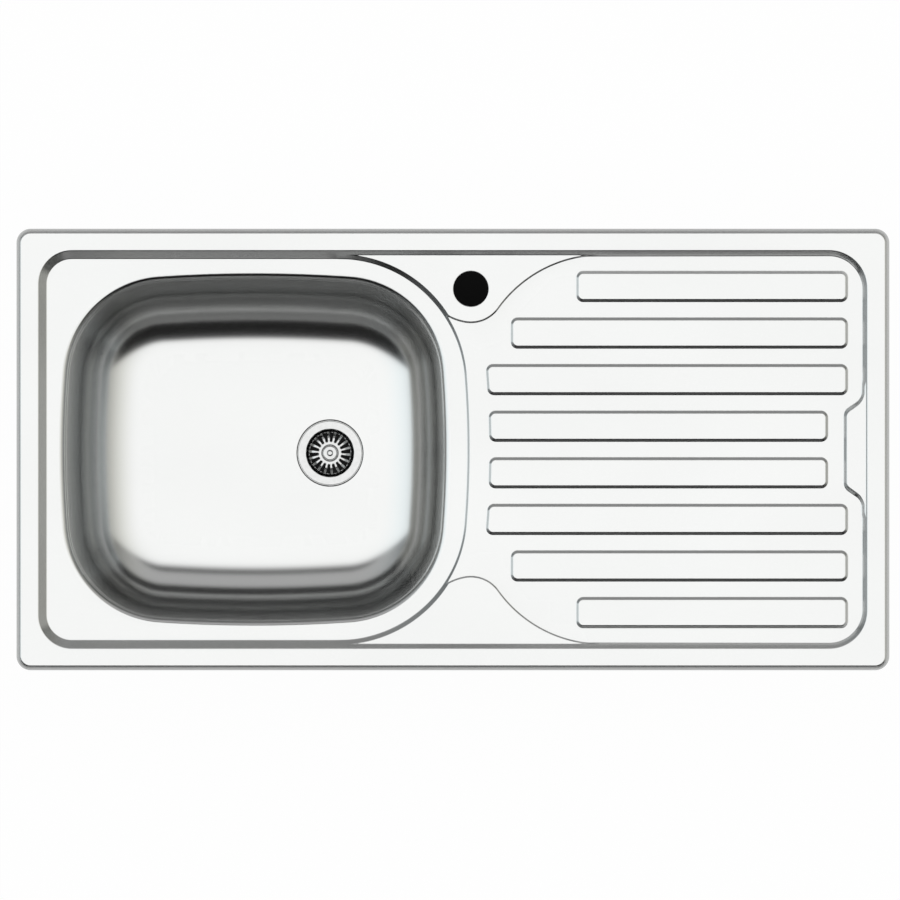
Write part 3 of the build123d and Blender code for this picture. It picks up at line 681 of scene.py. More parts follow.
def triangulated(loops, chains, holes, outer):
    """Triangles over a region, kept to its closed loops and open chains of points."""
    points, edges = [], []
    for chain, closed in [(loop, True) for loop in loops] + [(chain, False) for chain in chains]:
        first = len(points)
        points += [Vector(p) for p in chain]
        edges += [(i, i + 1) for i in range(first, len(points) - 1)]
        if closed:
            edges.append((len(points) - 1, first))
    made = delaunay_2d_cdt(points, edges, [], 0, SAME_POINT)
    plan = np.array([p[:] for p in made[0]])
    faces = np.array(made[2])
    middles = plan[faces].mean(axis=1)
    keep = inside_loop(middles, outer)
    for hole in holes:
        keep &= ~inside_loop(middles, hole)
    faces = faces[keep]
    a, b, c = (plan[faces[:, k]] for k in range(3))
    turn = (b[:, 0] - a[:, 0]) * (c[:, 1] - a[:, 1]) - (b[:, 1] - a[:, 1]) * (c[:, 0] - a[:, 0])
    along_outer = (faces < len(outer)).all(axis=1)
    solid = np.abs(turn) > np.where(along_outer, OUTER_SLIVER, EMPTY)
    faces, turn = faces[solid], turn[solid]
    faces[turn < 0] = faces[turn < 0][:, ::-1]
    return plan, faces


# --- meshes ----------------------------------------------------------------------------
WELD = 1e-4


class Shell:
    """Collects vertices and faces in millimetres, then welds them into one mesh."""

    def __init__(self):
        self.points, self.normals, self.faces = [], [], []

    def add(self, points, faces, normals=None):
        """Points and their faces, with normals where the form knows them."""
        first = sum(len(p) for p in self.points)
        self.points.append(np.asarray(points, float))
        self.normals.append(np.zeros((len(points), 3)) if normals is None else normals)
        self.faces += [tuple(int(i) + first for i in face) for face in faces]

    def rows(self, rows, closed=True, flip=False, normals=None):
        """Quads between rows of equally many points."""
        count = len(rows[0])
        faces = []
        for r in range(len(rows) - 1):
            for i in range(count if closed else count - 1):
                j = (i + 1) % count
                quad = (r * count + i, r * count + j, (r + 1) * count + j, (r + 1) * count + i)
                faces.append(quad[::-1] if flip else quad)
        self.add(np.concatenate(rows), faces, normals)

    def caps(self, lower, upper):
        """Flat faces that close a form at its lowest and its highest row."""
        around = tuple(range(len(lower)))
        self.add(lower, [around[::-1]])
        self.add(upper, [around])

    def mesh(self, name):
        """One mesh in metres, with points that meet made one."""
        points = np.concatenate(self.points) * MM
        mesh = bpy.data.meshes.new(name)
        mesh.from_pydata(points.tolist(), [], self.faces)
        given = mesh.attributes.new("given_normal", "FLOAT_VECTOR", "POINT")
        given.data.foreach_set("vector", np.concatenate(self.normals).astype(np.float32).ravel())
        work = bmesh.new()
        work.from_mesh(mesh)
        bmesh.ops.remove_doubles(work, verts=work.verts, dist=WELD * MM)
        bmesh.ops.dissolve_degenerate(work, edges=work.edges, dist=WELD * MM)
        work.to_mesh(mesh)
        work.free()
        mesh.update()
        shaded(mesh)
        return mesh


def shaded(mesh):
    """Smooth shading, with the worked-out normals where the form gave them."""
    mesh.shade_smooth()
    count = len(mesh.vertices)
    own = np.zeros(count * 3, np.float32)
    mesh.vertices.foreach_get("normal", own)
    given = np.zeros(count * 3, np.float32)
    mesh.attributes["given_normal"].data.foreach_get("vector", given)
    own, given = own.reshape(-1, 3), given.reshape(-1, 3)
    use = np.linalg.norm(given, axis=1) > 0.5
    own[use] = given[use]
    mesh.attributes.remove(mesh.attributes["given_normal"])
    mesh.normals_split_custom_set_from_vertices(own.tolist())


# Angle in degrees past which an edge stays sharp.
CREASE = 32.0


def creased(mesh, degrees=CREASE):
    """Smooth shading that keeps the edges sharper than an angle."""
    mesh.shade_smooth()
    mesh.set_sharp_from_angle(angle=math.radians(degrees))
    return mesh


def at_height(plan, z):
    """Points in plan set at one height, or each at its own."""
    return np.column_stack([plan, np.broadcast_to(z, len(plan))])


# --- deck ------------------------------------------------------------------------------
# Rows of a fold, as shares of its reach from the line where its two planes meet.
FOLD_SHARES = (-1.9, -1.0, -0.5, -0.05, 0.35, ROOT_HALF)
# A row is kept where the sheet is this near to its level, and this clear of other walls.
LEVEL_SLACK = 0.3
CLEAR_OF_RIM = 3.0
CLEAR_OF_LEDGE = 1.0
CLEAR_OF_PAD = 0.6
RIM_FLAT_END = 2.1
RIM_EDGE_R = 0.8
LIP_FLAT_END = 0.9
DECK_SPACING = 24.0
DECK_CLEARANCE = 8.0


def fold_steps(radius, at, towards=1):
    """Offsets of the rows of points that a fold needs, round the line where it turns."""
    reach = radius * FOLD_REACH
    return [at + towards * share * reach for share in FOLD_SHARES]


def closed_chain(points):
    """A chain that ends at its first point."""
    return np.vstack([points, points[:1]])


def chains_where(points, keep, closed):
    """Splits an outline into the unbroken chains of its points that are kept."""
    if closed and keep.all():
        return [closed_chain(points)]
    if closed:
        turn = int(np.argmin(keep))
        points, keep = np.roll(points, -turn, axis=0), np.roll(keep, -turn)
    chains, run = [], []
    for point, kept in zip(points, keep):
        if kept:
            run.append(point)
        elif run:
            chains.append(run)
            run = []
    if run:
        chains.append(run)
    return [np.array(chain) for chain in chains]


def wall_rows(outline, closed, offset, level, source):
    """Row along a fold, kept where the sheet beside it really stands at that level."""
    along = outline[0][:, 0]
    height = level(along) if callable(level) else np.full(len(along), level)
    row = shifted(outline, offset(height))
    near = source(row[:, 0], row[:, 1])
    return chains_where(row, np.abs(near - height) < LEVEL_SLACK, closed)


def recess_wall(points):
    """Height of the recess wall's plane over points in plan."""
    return RIM_Z + recess_distance(points[:, 0], points[:, 1])


def recess_rows(form):
    """Rows along the top of the recess wall and along its foot at each level that it meets."""
    recess = rounded_rectangle(RECESS_X, RECESS_Y, RECESS_R_BOWL, RECESS_R_DRAINER)
    chains = [closed_chain(shifted(recess, step)) for step in fold_steps(form.crest_r, 0.0, -1)]

    def below(x, y):
        """The sheet inside the wall, without its ribs."""
        pad = drop_from(PAD_TOP_Z, PAD_TOP_Z - bare_pad_distance(x, y, form.pad), form.crest_r)
        return rise_from(form.floor(x, y), pad, form.root_r)

    for level in (LEDGE_Z, TAP_LEDGE_Z, form.field, PAD_TOP_Z):
        for step in fold_steps(form.root_r, 0.0):
            chains += wall_rows(recess, True, lambda z: z - RIM_Z + step, level, below)
    return chains


def ledge_rows(form):
    """Rows along the foot and the top of the wall round the bowl's ledge."""
    turn = math.degrees(LEDGE_TURN)
    ledge = join(
        arc((LEDGE_CORNER_X, -LEDGE_CORNER_Y), LEDGE_CORNER_R, -90, -turn),
        arc((LEDGE_SIDE_X, 0), LEDGE_SIDE_R, -turn, turn, step=LEDGE_STEP),
        arc((LEDGE_CORNER_X, LEDGE_CORNER_Y), LEDGE_CORNER_R, turn, 90),
    )
    chains = []
    for step in fold_steps(form.root_r, 0.0):
        row = shifted(ledge, step / LEDGE_SLOPE)
        chains += chains_where(row, recess_wall(row) < LEDGE_Z + CLEAR_OF_LEDGE, False)
    for level in (TAP_LEDGE_Z, form.field):
        for step in fold_steps(form.rib_r, 0.0, -1):
            chains += wall_rows(
                ledge, False, lambda z: (z - LEDGE_Z + step) / LEDGE_SLOPE, level, form.upper,
            )
    return chains


def tap_ledge_rows(form):
    """Rows along the foot and the top of the tap ledge's end and sweep, front and back."""
    to_sweep, to_ledge = math.degrees(TO_SWEEP), math.degrees(TO_LEDGE)
    circle, heading = arc((TAP_X, TAP_Y), TAP_PAD_R, to_ledge, to_sweep, step=RIB_STEP)
    turns = np.arctan2(heading[:, 1], heading[:, 0])
    circle += heading * (tap_pad_reach(turns) - TAP_PAD_R)[:, None]
    sweep = arc((SWEEP_X, SWEEP_Y), SWEEP_R, to_sweep + 180, 90, side=-1)
    points, out = join((circle, heading), sweep)
    chains = []
    for flip in (1, -1):
        outline = points * (1, flip), out * (1, flip)
        for level in (form.field(points[:, 0]), TAP_LEDGE_Z):
            for step in fold_steps(form.rib_r, 0.0):
                row = shifted(outline, DEEP_FIELD_Z - level + step)
                x, y = row[:, 0], row[:, 1]
                z = form.height(x, y)
                clear = (z < RIM_Z - CLEAR_OF_RIM) & (z > LEDGE_Z + CLEAR_OF_LEDGE)
                clear &= np.abs(z - form.upper(x, y)) < LEVEL_SLACK / 2
                chains += chains_where(row, clear, False)
    return chains


def bare_pad_rows(form):
    """Rows along the top and the foot of the bare pad, up to the recess wall."""
    outline = rounded_polygon(form.pad, PAD_CORNER_R)
    chains = []
    for step in fold_steps(form.crest_r, 0.0):
        row = shifted(outline, step)
        chains += chains_where(row, recess_wall(row) < PAD_TOP_Z + CLEAR_OF_PAD, True)
    for step in fold_steps(form.root_r, 0.0, -1):
        row = shifted(outline, PAD_TOP_Z - form.field(outline[0][:, 0]) + step)
        clear = recess_wall(row) < form.field(row[:, 0]) + CLEAR_OF_PAD
        chains += chains_where(row, clear, True)
    return chains


def rib_rows(form, corners):
    """Rows along the top and the foot of one rib."""
    outline = rounded_polygon(corners, RIB_CORNER_R)
    steps = fold_steps(form.rib_r, -form.rib_height) + fold_steps(form.rib_r, 0.0, -1)
    return [closed_chain(shifted(outline, step / RIB_SLOPE)) for step in steps]


def deck_chains(form):
    """Every row of points inside the rim that follows a fold of the pressing."""
    chains = recess_rows(form) + ledge_rows(form) + tap_ledge_rows(form) + bare_pad_rows(form)
    for corners in form.ribs:
        chains += rib_rows(form, corners)
    return chains


def rim_rows(form):
    """Section of the bevelled rim, from its flat over the edge and back underneath."""
    reach, under = form.crest_r * FOLD_REACH, SHEET * FOLD_REACH
    foot = RIM_Z - BEVEL
    inner_r = max(form.crest_r - SHEET, 0.1)
    section = [(BEVEL + RIM_FLAT_END, RIM_Z), (BEVEL + 1.6 * reach, RIM_Z)]
    for turn in np.radians(np.linspace(0, 45, 7)):
        inset = BEVEL + reach - form.crest_r * math.sin(turn)
        section.append((inset, RIM_Z - form.crest_r * (1 - math.cos(turn))))
    section.append((BEVEL / 2, foot + BEVEL / 2))
    for turn in np.radians(np.linspace(45, 90, 6)):
        z = foot - RIM_EDGE_R * FOLD_REACH + RIM_EDGE_R * math.cos(turn)
        section.append((RIM_EDGE_R * (1 - math.sin(turn)), z))
    burr = 0.1
    section += [(0.0, burr), (burr, 0.0), (SHEET - burr, 0.0), (SHEET, burr), (SHEET, foot - under)]
    section.append((BEVEL / 2 + under, foot + BEVEL / 2 - SHEET + under))
    crest = BEVEL + under
    for turn in np.radians(np.linspace(45, 0, 5)):
        inset = crest + inner_r * FOLD_REACH - inner_r * math.sin(turn)
        section.append((inset, RIM_Z - SHEET - inner_r * (1 - math.cos(turn))))
    section.append((BEVEL + RIM_FLAT_END, RIM_Z - SHEET))
    outline = rounded_rectangle(HALF_LENGTH, HALF_WIDTH, OUTLINE_R, OUTLINE_R)
    return [at_height(shifted(outline, -inset), z) for inset, z in section]


def lip_rows(mouth):
    """Section of the turned-down lip, from the ledge into the bowl and back underneath."""
    reach = MOUTH_EDGE_R * TAN_HALF_BEND
    centre_z = LEDGE_Z - MOUTH_EDGE_R
    wall = SHEET / math.cos(math.radians(DRAFT))
    lip_in = (LIP_Z - LEDGE_Z) * TAN_DRAFT
    bend = np.radians(np.linspace(0, 90 - DRAFT, 15))

    def rolled(radius, turns):
        """One face of the lip's bend."""
        return [(reach - radius * math.sin(t), centre_z + radius * math.cos(t)) for t in turns]

    section = [(reach + LIP_FLAT_END, LEDGE_Z), *rolled(MOUTH_EDGE_R, bend)]
    section += [(lip_in, LIP_Z), (lip_in + wall, LIP_Z)]
    section += rolled(MOUTH_EDGE_R - SHEET, bend[::-1])
    section.append((reach + LIP_FLAT_END, LEDGE_Z - SHEET))
    return [at_height(shifted(mouth, out), z) for out, z in section]


def hole_rows():
    """Section of the tap hole's edge, with its burr taken off."""
    z, burr = TAP_LEDGE_Z, 0.12
    section = [
        (1.0, z), (burr, z), (0.0, z - burr), (0.0, z - SHEET + burr),
        (burr, z - SHEET), (1.0, z - SHEET),
    ]
    ring = join(arc((TAP_X, TAP_Y), TAP_HOLE_R, 0, 360, step=HOLE_STEP))
    return [at_height(shifted(ring, out), height) for out, height in section]


def deck_mesh(sizes):
    """The pressed deck: one sheet of even thickness with its rim, lip and tap hole."""
    form = PressedForm(sizes)
    rim, lip, hole = rim_rows(form), lip_rows(mouth_outline()), hole_rows()
    outer, mouth, ring = rim[0][:, :2], lip[0][:, :2], hole[0][:, :2]
    chains = deck_chains(form)
    taken = np.concatenate([outer, mouth, ring] + chains)
    low, high = (-HALF_LENGTH, -HALF_WIDTH), (HALF_LENGTH, HALF_WIDTH)
    grid = scattered(low, high, DECK_SPACING, taken, DECK_CLEARANCE)
    grid = grid[inside_loop(grid, outer) & ~inside_loop(grid, mouth)]
    joins = grid_points(JOIN_GRID_FROM, JOIN_GRID_TO, JOIN_SPACING)
    chains += [[p] for p in np.concatenate([grid, joins, joins * (1, -1)])]
    plan, faces = triangulated([outer, mouth, ring], chains, [mouth, ring], outer)
    x, y = plan[:, 0], plan[:, 1]
    normals = form.normals(x, y)
    top = at_height(plan, form.height(x, y))
    shell = Shell()
    shell.add(top, faces, normals)
    shell.add(top - SHEET * normals, faces[:, ::-1], -normals)
    shell.rows(rim, flip=True)
    shell.rows(lip)
    shell.rows(hole)
    return shell.mesh("deck_pressing")


# --- bowl ------------------------------------------------------------------------------
BOWL_SPACING = 20.0
BOWL_CLEARANCE = 9.0


def bowl_rows(mouth, sheet):
    """Wall and floor bend of the bowl; `sheet` is 0 inside and the thickness outside."""
    wall = sheet / math.cos(math.radians(DRAFT))
    bend_in = -BOWL_DEPTH * TAN_DRAFT - FLOOR_R * TAN_HALF_BEND
    bend_z = FLOOR_Z + FLOOR_R
    radius = FLOOR_R + sheet
    start_z = bend_z - FLOOR_R * math.sin(math.radians(DRAFT))
    section = [((z - LEDGE_Z) * TAN_DRAFT + wall, z) for z in np.linspace(LIP_Z, start_z, 9)[:-1]]
    for turn in np.radians(np.linspace(90 - DRAFT, 0, 33)):
        section.append((bend_in + radius * math.sin(turn), bend_z - radius * math.cos(turn)))
    to_drainer = np.clip(mouth[1][:, 0], 0, 1) ** 2
    to_front = np.clip(-mouth[1][:, 1], 0, 1) ** 2
    reach = section[-1][0]
    rows = []
    for out, z in section:
        sides = to_drainer + to_front * (1 - (out / reach) ** 2)
        ease = WALL_EASE * sides * (LEDGE_Z - z) / BOWL_DEPTH
        rows.append(at_height(shifted(mouth, out + ease), z))
    return rows


def dish_rows(sheet):
    """Sunken seat of the waste, from the floor to the hole."""
    top_r, root_r = max(DISH_EDGE_R - sheet, 0.1), DISH_EDGE_R + sheet
    middle = FLOOR_Z - DISH_EDGE_R
    section = [(DISH_R + 3.0, FLOOR_Z - sheet)]
    turns = np.radians(np.linspace(0, 90, 7))
    for turn in turns:
        radius = DISH_R + DISH_EDGE_R - top_r * math.sin(turn)
        section.append((radius, middle + top_r * math.cos(turn)))
    for turn in turns[::-1]:
        radius = DISH_R - DISH_EDGE_R + root_r * math.sin(turn)
        section.append((radius, middle - root_r * math.cos(turn)))
    section.append((WASTE_HOLE_R, FLOOR_Z - DISH_DROP - sheet))
    ring = join(arc((WASTE_X, WASTE_Y), 1.0, 0, 360, step=0.06))
    return [at_height(shifted(ring, radius - 1.0), z) for radius, z in section]


def bowl_mesh():
    """The drawn bowl with both faces, its floor and the hole for the waste."""
    mouth = mouth_outline()
    shell = Shell()
    ends = []
    for sheet in (0.0, SHEET):
        wall, dish = bowl_rows(mouth, sheet), dish_rows(sheet)
        shell.rows(wall, flip=sheet > 0)
        shell.rows(dish, flip=sheet > 0)
        ends.append((wall[0], dish[-1]))
        loop, ring = wall[-1][:, :2], dish[0][:, :2]
        taken = np.concatenate([loop, ring])
        low, high = loop.min(axis=0), loop.max(axis=0)
        grid = scattered(low, high, BOWL_SPACING, taken, BOWL_CLEARANCE)
        grid = grid[inside_loop(grid, loop) & ~inside_loop(grid, ring)]
        plan, faces = triangulated([loop, ring], [[p] for p in grid], [ring], loop)
        up = np.tile([0.0, 0.0, 1.0 if sheet == 0 else -1.0], (len(plan), 1))
        shell.add(at_height(plan, FLOOR_Z - sheet), faces if sheet == 0 else faces[:, ::-1], up)
    shell.rows([ends[1][0], ends[0][0]])
    shell.rows([ends[0][1], ends[1][1]])
    return shell.mesh("bowl_drawing")


# --- turned pieces ---------------------------------------------------------------------
# Degrees between the points of a rounded corner, how near a point lies to the axis to be on
# it, the bend that counts as none, and the most of a side that one rounding may take up.
ROUNDING_TURN = 14.0
ON_AXIS = 1e-6
STRAIGHT = 1e-6
MOST_OF_SIDE = 0.46
TURN_STEPS = 96
# Section of an opening's edge: how far it rolls back, and how deep.
ROLLED_EDGE = (0.0, 0.06, 0.2)
OPENING_CLEARANCE = 0.5
SECTOR_WELD = 0.02


def rounded(corners, closed=True):
    """Corners given as (r, z, radius), rounded into points and outward headings.

    The outline runs with the piece's material on its left.
    """
    points, out = [], []
    count = len(corners)
    for index, (r, z, radius) in enumerate(corners):
        here = np.array((r, z), float)
        into = here - np.array(corners[index - 1][:2])
        onto = np.array(corners[(index + 1) % count][:2]) - here
        lengths = np.linalg.norm(into), np.linalg.norm(onto)
        into, onto = into / lengths[0], onto / lengths[1]
        bend = math.atan2(into[0] * onto[1] - into[1] * onto[0], float(into @ onto))
        heading = None
        if not closed and index == count - 1:
            heading = (into[1], -into[0])
        elif not closed and index == 0:
            heading = (onto[1], -onto[0])
        elif r < ON_AXIS:
            level = into if corners[index - 1][0] > ON_AXIS else onto
            heading = (0.0, -math.copysign(1.0, level[0]))
        elif abs(bend) < STRAIGHT:
            heading = (onto[1], -onto[0])
        if heading:
            points.append(here)
            out.append(np.array(heading))
            continue
        reach = min(radius * math.tan(abs(bend) / 2), MOST_OF_SIDE * min(lengths))
        real = reach / math.tan(abs(bend) / 2) * math.copysign(1.0, bend)
        first = np.array((into[1], -into[0]))
        centre = here - into * reach - first * real
        steps = max(2, math.ceil(math.degrees(abs(bend)) / ROUNDING_TURN))
        for turn in np.linspace(0, bend, steps + 1):
            c, s = math.cos(turn), math.sin(turn)
            heading = np.array((c * first[0] - s * first[1], s * first[0] + c * first[1]))
            points.append(centre + heading * real)
            out.append(heading)
    return np.array(points), np.array(out)


def turn_on(shell, corners, centre, closed=True, first=0.0, last=360.0, count=TURN_STEPS):
    """Adds a form turned about an upright axis, or a sector of one."""
    points, out = rounded(corners, closed)
    full = last - first >= 360.0
    angles = np.radians(np.linspace(first, last, count + 1))[:count if full else count + 1]
    c, s = np.cos(angles), np.sin(angles)
    if closed:
        points, out = np.vstack([points, points[:1]]), np.vstack([out, out[:1]])
    rows, normals = [], []
    for (r, z), (nr, nz) in zip(points, out):
        rows.append(np.stack([centre[0] + r * c, centre[1] + r * s, np.full(len(c), z)], axis=1))
        normals.append(np.stack([nr * c, nr * s, np.full(len(c), nz)], axis=1))
    shell.rows(rows, closed=full, normals=np.concatenate(normals))


def turned(name, corners):
    """A closed form turned about the waste's axis."""
    shell = Shell()
    turn_on(shell, corners, (WASTE_X, WASTE_Y))
    return shell.mesh(name)


def pierced_sector(shell, loop_at, reach, pitch, count, upper, lower, arcs):
    """One sector of a turned plate with an opening through it, built about the Z axis.

    `upper` and `lower` give heights from radii; `loop_at` gives the opening's outline.
    """
    turns = np.radians(np.linspace(-pitch / 2, pitch / 2, count + 1))
    headings = np.stack([np.cos(turns), np.sin(turns)], axis=1)
    low, high = (r * headings for r in reach)
    levels = np.linspace(reach[0], reach[1], 9)[1:-1]
    sides = [np.stack([levels * math.cos(t), levels * math.sin(t)], axis=1) for t in turns[[0, -1]]]
    outline = np.concatenate([high, sides[1][::-1], low[::-1], sides[0]])
    edge = loop_at(ROLLED_EDGE[-1])
    around = np.concatenate([r * headings[1:-1] for r in arcs])
    free = around[~inside_loop(around, loop_at(OPENING_CLEARANCE))]
    plan, faces = triangulated([outline, edge], [[p] for p in free], [edge], outline)
    r = np.hypot(plan[:, 0], plan[:, 1])
    for height, face in ((upper, 1), (lower, -1)):
        step = 0.01
        slope = (height(r + step) - height(r - step)) / (2 * step)
        normals = at_height(-slope[:, None] * plan / r[:, None], 1.0)
        normals *= face / np.linalg.norm(normals, axis=1, keepdims=True)
        shell.add(at_height(plan, height(r)), faces[:, ::face], normals)
    rows = []
    for height, inwards in ((upper, -1), (lower, 1)):
        for grow, sink in zip(ROLLED_EDGE[::-1], ROLLED_EDGE):
            loop = loop_at(grow)
            r = np.hypot(loop[:, 0], loop[:, 1])
            rows.append(at_height(loop, height(r) + inwards * sink))
    shell.rows(rows[:3] + rows[:2:-1], flip=True)


# --- waste -----------------------------------------------------------------------------
# Radii and heights from the flange down to the outlet. An opening reaches from one radius to
# another, and to half its angle, in degrees, on each side.
DISH_Z = FLOOR_Z - DISH_DROP
FLANGE_UNDER = DISH_Z + 1.0
FLANGE_TOP = FLANGE_UNDER + 1.0
FLANGE_R = (FLANGE_HIGH[0] - FLANGE_LOW[0]) / 2
CUP_R = FLANGE_R - 8.1
CUP_WALL = 0.8
CUP_FLOOR = FLANGE_UNDER - 15.0
CUP_FLOOR_SHEET = 1.0
WELL_R = 9.0
WELL_Z = CUP_FLOOR - 3.0
WINDOWS = 6
WINDOW_REACH = (WELL_R + 2.0, CUP_R - 4.1)
WINDOW_HALF_TURN = 21.0
WINDOW_CORNER_R = 1.2
BOLT_HOLE_R = 4.03
CROWN_R = (CROWN_HIGH[0] - CROWN_LOW[0]) / 2
CROWN_TOP = CROWN_HIGH[2]
CROWN_BRIM = CROWN_TOP - 4.5
CROWN_FOOT = CROWN_LOW[2]
CROWN_SHEET = 1.0
# Part of the crown's fall that is even, and how late the rest of it sets in.
CROWN_EVEN = 0.08
CROWN_CURL = 2.8
PLUG_LIP = 0.9
HUB_R = 10.35
STEM_R = 2.45
SLOT_REACH = (HUB_R + 0.95, CROWN_R - 0.3)
SLOTS = 18
SLOT_HALF_TURN = 6.2
SLOT_TIP = 0.85
SLOT_FIRST = 5.0
HUB_SINK_R = 8.5
HUB_SINK = 0.9
KNOB_R = 7.2
KNOB_WAIST_R = 4.6
KNOB_LIFT = 2.0
KNOB_TOP = CROWN_TOP + 6.0
DIMPLE_R = 3.2
DIMPLE_DEPTH = 1.15


def slot_loop(grow):
    """Outline of a tapered slot on the +X side: straight sides and rounded ends."""
    first_r, last_r = SLOT_REACH
    tilt = math.radians(SLOT_HALF_TURN)
    low_r = first_r * math.sin(tilt) * SLOT_TIP + grow
    high_r = last_r * math.sin(tilt) * SLOT_TIP + grow
    low_x, high_x = first_r + low_r - grow, last_r - high_r + grow
    slope = math.asin((high_r - low_r) / (high_x - low_x))
    points = []
    for centre, radius, middle, side in ((high_x, high_r, 0.0, 1), (low_x, low_r, math.pi, -1)):
        spread = math.pi / 2 + side * slope
        for turn in np.linspace(middle - spread, middle + spread, 9):
            points.append((centre + radius * math.cos(turn), radius * math.sin(turn)))
    return np.array(points)


def window_loop(grow):
    """Outline of a water window on the +X side, a piece of a ring with rounded corners."""
    first_r, last_r = WINDOW_REACH[0] - grow, WINDOW_REACH[1] + grow
    corner = WINDOW_CORNER_R + grow
    quarter = math.pi / 4
    points = []
    for r, side, start in ((last_r, 1, -1), (last_r, 1, 1), (first_r, -1, 1), (first_r, -1, -1)):
        half = math.radians(WINDOW_HALF_TURN) + grow / r
        inner = r - side * corner
        tilt = start * (half - math.asin(corner / inner))
        x, y = inner * math.cos(tilt), inner * math.sin(tilt)
        middle = tilt + start * quarter if side > 0 else tilt + math.pi - start * quarter
        for turn in np.linspace(middle - quarter, middle + quarter, 5):
            points.append((x + corner * math.cos(turn), y + corner * math.sin(turn)))
        if start * side < 0:
            for turn in np.linspace(tilt, -tilt, 7)[1:-1]:
                points.append((r * math.cos(turn), r * math.sin(turn)))
    return np.array(points)


def crown_share(r):
    """0 at the hub and 1 at the brim."""
    return np.clip((r - HUB_R) / (CROWN_R - HUB_R), 0, 1)


def crown_height(r):
    """Upper face of the crown: level at the hub and steeper towards its brim."""
    share = crown_share(r)
    fall = CROWN_EVEN * share + (1 - CROWN_EVEN) * share ** CROWN_CURL
    return CROWN_TOP - (CROWN_TOP - CROWN_BRIM) * fall


def crown_under(r):
    """Lower face of the crown, which is thicker towards its brim."""
    return crown_height(r) - CROWN_SHEET * (1 + 0.35 * crown_share(r))


def crown_sector():
    """One slot of the strainer's crown, with its share of the hub and of the skirt."""
    shell = Shell()
    pitch, count = 360 / SLOTS, 8
    reach = inner_r, outer_r = HUB_R + 0.3, CROWN_R - 0.06
    arcs = np.linspace(inner_r, outer_r, 12)[1:-1]
    pierced_sector(shell, slot_loop, reach, pitch, count, crown_height, crown_under, arcs)
    inner_top, inner_under, outer_top, outer_under = (
        float(face(r)) for r in reach for face in (crown_height, crown_under)
    )
    sunk, hub_under = CROWN_TOP - HUB_SINK, CROWN_TOP - 1.8 * CROWN_SHEET
    hub = [
        (inner_r, inner_top, 0), (HUB_R - 0.1, CROWN_TOP, 0.3), (HUB_SINK_R, CROWN_TOP, 0.8),
        (HUB_SINK_R - HUB_SINK, sunk, 0.4), (STEM_R, sunk, 0.1), (STEM_R, hub_under, 0.1),
        (HUB_SINK_R - 0.4, hub_under, 0.3), (HUB_R - 0.1, CROWN_TOP - CROWN_SHEET, 0.3),
        (inner_r, inner_under, 0),
    ]
    inside = CROWN_R - CROWN_SHEET
    skirt = [
        (outer_r, outer_under, 0), (inside, outer_under - 0.1, 0.05), (inside, CROWN_FOOT, 0.2),
        (CROWN_R, CROWN_FOOT, 0.2), (CROWN_R, outer_top - 0.35, 0.2), (outer_r, outer_top, 0),
    ]
    for corners in (hub, skirt):
        turn_on(shell, corners, (0, 0), False, -pitch / 2, pitch / 2, count)
    return shell.mesh("crown_sector")


def crown_mesh(paint):
    """Eighteen slots, turned to where the photograph has them."""
    sector = crown_sector()
    work = bmesh.new()
    work.from_mesh(sector)
    turn = Matrix.Rotation(math.radians(SLOT_FIRST), 4, "Z")
    bmesh.ops.transform(work, matrix=turn, verts=work.verts)
    work.to_mesh(sector)
    work.free()
    return creased(turned_copies("strainer_slots", sector, SLOTS, paint))


def flange_mesh(paint):
    """Waste flange and cup, with its water windows in the floor of the cup."""
    shell = Shell()
    pitch, count = 360 / WINDOWS, 20
    wall_r = WELL_R + CUP_WALL
    reach = inner_r, outer_r = wall_r + 0.3, CUP_R - 2.8
    under = CUP_FLOOR - CUP_FLOOR_SHEET
    faces = (lambda r: np.full(np.shape(r), CUP_FLOOR), lambda r: np.full(np.shape(r), under))
    pierced_sector(shell, window_loop, reach, pitch, count, *faces, [inner_r + 1.0])
    well = [
        (inner_r, CUP_FLOOR, 0), (WELL_R, CUP_FLOOR, 0.8), (WELL_R, WELL_Z, 0.6),
        (BOLT_HOLE_R, WELL_Z, 0.1), (BOLT_HOLE_R, WELL_Z - 1.0, 0.1),
        (wall_r, WELL_Z - 1.0, 1.2), (wall_r, under, 0.3), (inner_r, under, 0),
    ]
    cup = [
        (outer_r, under, 0), (CUP_R + CUP_WALL, under, 1.3), (CUP_R + CUP_WALL, FLANGE_UNDER, 0.15),
        (FLANGE_R, FLANGE_UNDER, 0.2), (FLANGE_R, FLANGE_TOP, 0.95), (CUP_R, FLANGE_TOP, 0.9),
        (CUP_R, CUP_FLOOR, 2.6), (outer_r, CUP_FLOOR, 0),
    ]
    for corners in (well, cup):
        turn_on(shell, corners, (0, 0), False, -pitch / 2, pitch / 2, count)
    return creased(turned_copies("cup_windows", shell.mesh("flange_sector"), WINDOWS, paint))


def knob_corners():
    """Section of the knob with its stem, from the stem's end to the dimple."""
    low = node_box("strainer_knob")[0][2]
    foot, neck = CROWN_TOP - HUB_SINK, CROWN_TOP + KNOB_LIFT
    return [
        (0, low, 0), (STEM_R - 0.5, low, 0.1), (STEM_R, low + 0.5, 0.2), (STEM_R, foot, 0.1),
        (KNOB_WAIST_R, foot, 0.2), (KNOB_WAIST_R, neck, 1.0), (KNOB_R, neck + 1.2, 0.7),
        (KNOB_R, KNOB_TOP, 1.5), (DIMPLE_R, KNOB_TOP, 0.5), (DIMPLE_R - 1.3, KNOB_TOP - 1.0, 1.2),
        (0, KNOB_TOP - DIMPLE_DEPTH, 0),
    ]


